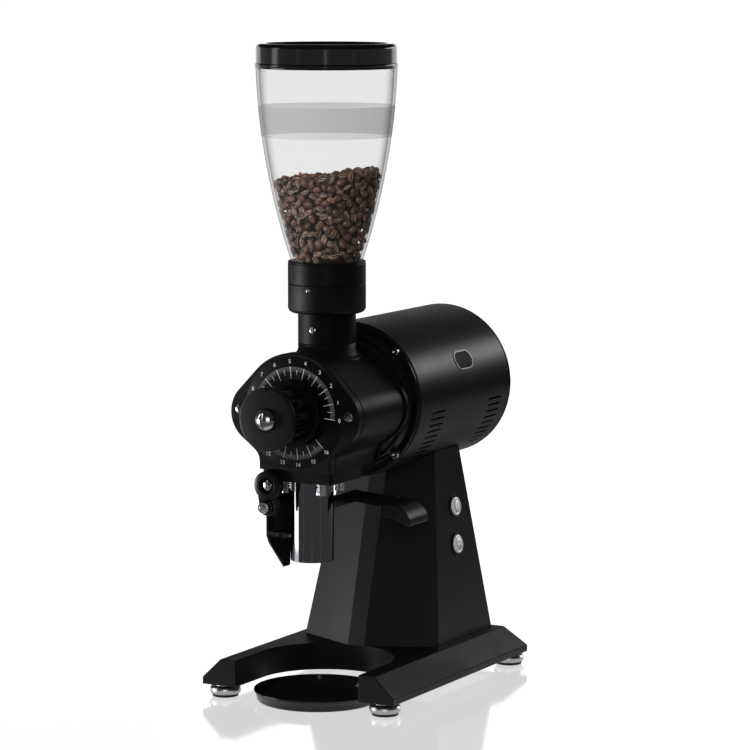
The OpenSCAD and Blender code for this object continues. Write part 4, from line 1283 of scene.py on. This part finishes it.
heights = [cup_foot + (hopper_high.z - cup_foot) * i / 28 for i in range(29)]
cup_line = [(cup_neck - wall, cup_foot - 20), (cup_neck, cup_foot - 20), (cup_neck, cup_foot - 0.3)]
cup_line += [(cup_r(z), z) for z in heights]
cup_line += [(cup_r(heights[-1]) - wall, heights[-1])]
cup_line += [(cup_r(z) - wall, z) for z in reversed(heights[:-1])]
cup_line += [(cup_neck - wall, cup_foot - 3), (cup_neck - wall, cup_foot - 20)]
cup = finish(shifted(turned(cup_line, 160), 0, neck_y, 0), "hopper_cup", clear_plastic)
keep_sharp(cup, 40)
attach(cup, "hopper_unit")
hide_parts("hopper")

smoke_ink, tree, ink = surface("smoke_grey_translucent_print")
dress(ink, tree, Roughness=0.35,
      Base_Color=between(tree, grains(tree, 60.0, 2.0), linear("#cfd1d0"), linear("#d6d8d7")))
see_through(tree, ink, 0.24, "#f0f1f0")
band_foot, band_height = 607, 33
band_line = [(cup_r(z) + 0.2, z) for z in [band_foot + band_height * i / 24 for i in range(25)]]
band = finish(shifted(turned(band_line, 160), 0, neck_y, 0), "hopper_band", smoke_ink)
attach(band, "hopper_unit")

# ---------------------------------------------------------------- roasted beans
# Medium roast beans fill the lower half of the cup: ovals with one domed and one flat side, a crease down the
# flat one with painted shade in its middle and pale edges that are partly silverskin and partly painted
# highlight, a satin shine of oil, and no two quite the same brown.
random.seed(41)
bean_long, bean_wide, bean_thick = 5.6, 4.0, 3.4
bean_sizes = (0.86, 1.02)
wall_tries, top_tries = 26000, 9000
heap_top = 564
roast, tree, skin = surface("roasted_coffee_bean")
tint = add(tree, "ShaderNodeAttribute", attribute_name="tone").outputs["Fac"]
crease = add(tree, "ShaderNodeAttribute", attribute_name="crease").outputs["Fac"]
speckle = grains(tree, 900.0, 3.0)
shade = add(tree, "ShaderNodeMath", {0: tint, 1: speckle}, operation="MULTIPLY").outputs[0]
brown = between(tree, shade, linear("#24160f"), linear("#8d6450"))
# the crease's edges are painted pale, partly the silverskin left in it and partly a painted highlight; its
# middle is painted dark as the groove's shade
pale = between(tree, spread(tree, crease, 0.12, 0.4, 0, 0.75), brown, linear("#c3a892"))
painted_crease_shade_and_highlight = between(tree, spread(tree, crease, 0.55, 0.68), pale, linear("#1c110c"))
dress(skin, tree, Base_Color=painted_crease_shade_and_highlight, Roughness=0.3, Normal=relieved(tree, speckle, 0.08, 0.0006))


def bean_shape():
    """One bean in millimetres, flat side down, with how deep in the crease each point lies."""
    bm = bmesh.new()
    bmesh.ops.create_uvsphere(bm, u_segments=14, v_segments=8, radius=1)
    turn_mesh(bm, 90, "Y")
    spacing = [0, 6, 20, 44, 70, 98, 136, 180]
    crease_steps = ((4, 1.0), (10, 0.6), (30, 0.3))
    depth = []
    for v in bm.verts:
        turn = math.degrees(math.atan2(v.co.y, -v.co.z))
        spread = math.hypot(v.co.y, v.co.z)
        step = abs(turn) / (180 / 7)
        whole = min(int(step + 0.001), 6)
        placed = spacing[whole] + (spacing[whole + 1] - spacing[whole]) * (step - whole)
        angle = math.radians(math.copysign(placed, turn))
        y, z = spread * math.sin(angle), -spread * math.cos(angle)
        if z < 0:
            z *= 0.5
        line = 1.0 if placed < 4 and spread > 0.25 else 0.0
        z += 0.24 * line * spread
        v.co = (v.co.x * bean_long, y * bean_wide + line * 0.5 * math.sin(v.co.x * 2.4), z * bean_thick)
        depth.append(next((deep for reach, deep in crease_steps if placed < reach and spread > 0.2), 0.0))
    bm.verts.index_update()
    return bm, depth


bean, bean_depth = bean_shape()
bean_mesh = bpy.data.meshes.new("one_bean")
bean.to_mesh(bean_mesh)
bean.free()
bean_low = limits("coffee_beans")[0]
heap = bmesh.new()
tone_layer = heap.verts.layers.float.new("tone")
crease_layer = heap.verts.layers.float.new("crease")


def lay_bean(place, outward, size):
    """Adds one bean at a place, its back or its crease turned outward and its length at random."""
    before = len(heap.verts)
    heap.from_mesh(bean_mesh)
    heap.verts.ensure_lookup_table()
    new = heap.verts[before:]
    facing = Vector(outward).normalized()
    if random.random() < 0.5:
        facing = -facing
    facing = (facing + Vector((random.gauss(0, 0.3), random.gauss(0, 0.3),
                               random.gauss(0, 0.3)))).normalized()
    turn = facing.to_track_quat("Z", "Y").to_matrix() @ Matrix.Rotation(random.uniform(0, math.tau), 3, "Z")
    tone_value = random.uniform(0.15, 1.15)
    for v, depth in zip(new, bean_depth):
        v.co = turn @ (v.co * size) + Vector(place)
        v[tone_layer] = tone_value
        v[crease_layer] = depth


def fill_top(x, y):
    """The heap's uneven top."""
    return heap_top + 5 * noise.noise(Vector((x * 0.03, y * 0.03, 4))) + 0.09 * x


placed = []


def room_for(point, gap):
    """True if a bean's middle keeps its distance from those laid before."""
    return all((point - other).length_squared > gap * gap for other in placed)


for _ in range(wall_tries):
    z = random.uniform(cup_foot + 1, heap_top + 11)
    turn = random.uniform(0, math.tau)
    inner = cup_r(z) - wall
    r = inner - random.choice((3.6, 3.8, 4.4, 9.5))
    x, y = r * math.cos(turn), r * math.sin(turn)
    point = Vector((x, y, z))
    if z < fill_top(x, y) and room_for(point, 7.1):
        placed.append(point)
        lay_bean((x, y + neck_y, z), (x, y, random.uniform(-6, 6)), random.uniform(*bean_sizes))
for _ in range(top_tries):
    x, y = random.uniform(-62, 62), random.uniform(-62, 62)
    z = fill_top(x, y) + random.uniform(-3, 2)
    point = Vector((x, y, z))
    if math.hypot(x, y) < cup_r(z) - wall - 6.5 and room_for(point, 6.9):
        placed.append(point)
        lay_bean((x, y + neck_y, z), (random.gauss(0, 0.5), random.gauss(0, 0.5), 1),
                 random.uniform(*bean_sizes))
beans = finish(heap, "bean_heap", roast)
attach(beans, "hopper_unit")
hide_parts("coffee_beans")
bpy.data.meshes.remove(bean_mesh)

# the beans deeper in the cup are one mass, painted dark brown as their shade
core_line = [(0, bean_low.z), (32, bean_low.z), (32, cup_foot)]
core_line += [(cup_r(z) - wall - 8.5, z) for z in range(480, 551, 10)]
core_line += [(40, 555), (0, 557)]
bean_core_shade_coat = powder_coat("deep_bean_shadow", ("#150d09", "#20140e"), 0.7, 6, 0.6)
core = finish(shifted(turned(core_line, 64), 0, neck_y, 0), "bean_core", bean_core_shade_coat)
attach(core, "hopper_unit")

# ---------------------------------------------------------------- lid
# An injection moulded gloss black cap with a drip lip at its foot, a soft shoulder and a sunk top,
# with a shallow step underneath that sits in the cup's mouth.
lid_foot = hopper_high.z + 0.4
lid_r = lid_high.x
top = lid_high.z
lid_line = [(0, lid_foot - 0.7), (lid_r - 6.5, lid_foot - 0.7), (lid_r - 4, lid_foot - 0.4),
            (lid_r - 4, lid_foot),
            (lid_r - 0.3, lid_foot), (lid_r, lid_foot + 0.4), (lid_r, lid_foot + 4.6),
            (lid_r - 0.3, lid_foot + 5.0), (lid_r - 1.1, lid_foot + 5.3), (lid_r - 1.1, top - 6.5)]
lid_line += arc((lid_r - 6.5, top - 5.4), 5.4, 0, 90, 10)
lid_line += [(lid_r - 9.5, top - 0.1), (lid_r - 11.5, top - 0.9), (lid_r - 12.6, top - 2.4),
             (lid_r - 13.6, top - 3), (30, top - 3.1), (0, top - 3.1)]
lid = finish(shifted(turned(lid_line, 192), 0, neck_y, 0), "hopper_cap", gloss_black)
keep_sharp(lid, 42)
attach(lid, "lid")
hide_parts("hopper_lid")


# ---------------------------------------------------------------- parts inside
# Nothing of these shows from outside, apart from a glimpse through the slots and down the outlet.
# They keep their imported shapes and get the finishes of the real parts.
core_varnish = powder_coat("black_varnished_laminations", ("#0c0c0d", "#151517"), 0.5, 0.5, 0.3)
ground_steel = metal("ground_burr_steel", "#8f9195", 0.28, (900, 900, 900), 0.06)
drawn_shaft = metal("drawn_shaft_steel", "#a9abae", 0.3, (900, 60, 900), 0.04)
cast_shield = metal("as_cast_aluminium", "#9a9c9e", 0.5, (260, 260, 260), 0.18)
grey_phenolic = powder_coat("grey_moulded_phenolic", ("#1c1c1d", "#262627"), 0.5, 1.2, 0.1)
cream_case = powder_coat("cream_moulded_can", ("#b8b29c", "#c9c3ad"), 0.45, 2.0, 0.04)
wear("stator_core", core_varnish)
copper = metal("enamelled_copper_wire", "#a4562c", 0.3, (60, 60, 60), 0.1)
bands = add(copper.node_tree, "ShaderNodeTexWave", {"Scale": 500.0, "Distortion": 2.0}, bands_direction="Y")
turns = add(copper.node_tree, "ShaderNodeBump", {"Height": bands.outputs["Fac"], "Strength": 0.6,
                                                 "Distance": 0.001})
copper.node_tree.links.new(turns.outputs[0], copper.node_tree.nodes["Principled BSDF"].inputs["Normal"])
wear("stator_windings", copper)
for node in ("rear_bearing_shield", "cooling_fan", "rotor_core"):
    wear(node, cast_shield)
for node in ("front_bearing", "rear_bearing", "thrust_bearing", "fixed_burr", "rotating_burr", "gate_disc"):
    wear(node, ground_steel)
for node in ("motor_shaft", "adjusting_spindle", "burr_carrier", "feed_auger"):
    wear(node, drawn_shaft)
for node in ("contactor", "switch_bodies"):
    wear(node, grey_phenolic)
wear("run_capacitor", cream_case)


# ---------------------------------------------------------------- bright metal's own card
# Small chromed and plated parts would mirror a dark room, so soft white cards in front and behind
# light only them.
bright = bpy.data.collections.new("bright_metal")
for finish_worn in (turned_chrome, satin_chrome, bright_steel, silver_cap):
    for item in scene.collection.objects:
        if item.type == "MESH" and finish_worn.name in item.data.materials:
            bright.objects.link(item)
for name, azimuth, width, power in (("metal_card", 24, 1.5, 9), ("metal_card_rear", 151, 1.6, 12)):
    metal_card = softbox(name, azimuth, 0.6, 2.6, width, 1.5, power)
    metal_card.light_linking.receiver_collection = bright

# the beans get a broad soft shine of their own, and the lid's top mirrors the table's white cards
bean_side = bpy.data.collections.new("bean_side")
bean_side.objects.link(beans)
bean_card = softbox("bean_card", 0, 1.2, 2.4, 1.2, 1.0, 34)
bean_card.light_linking.receiver_collection = bean_side
only_table.objects.link(lid)
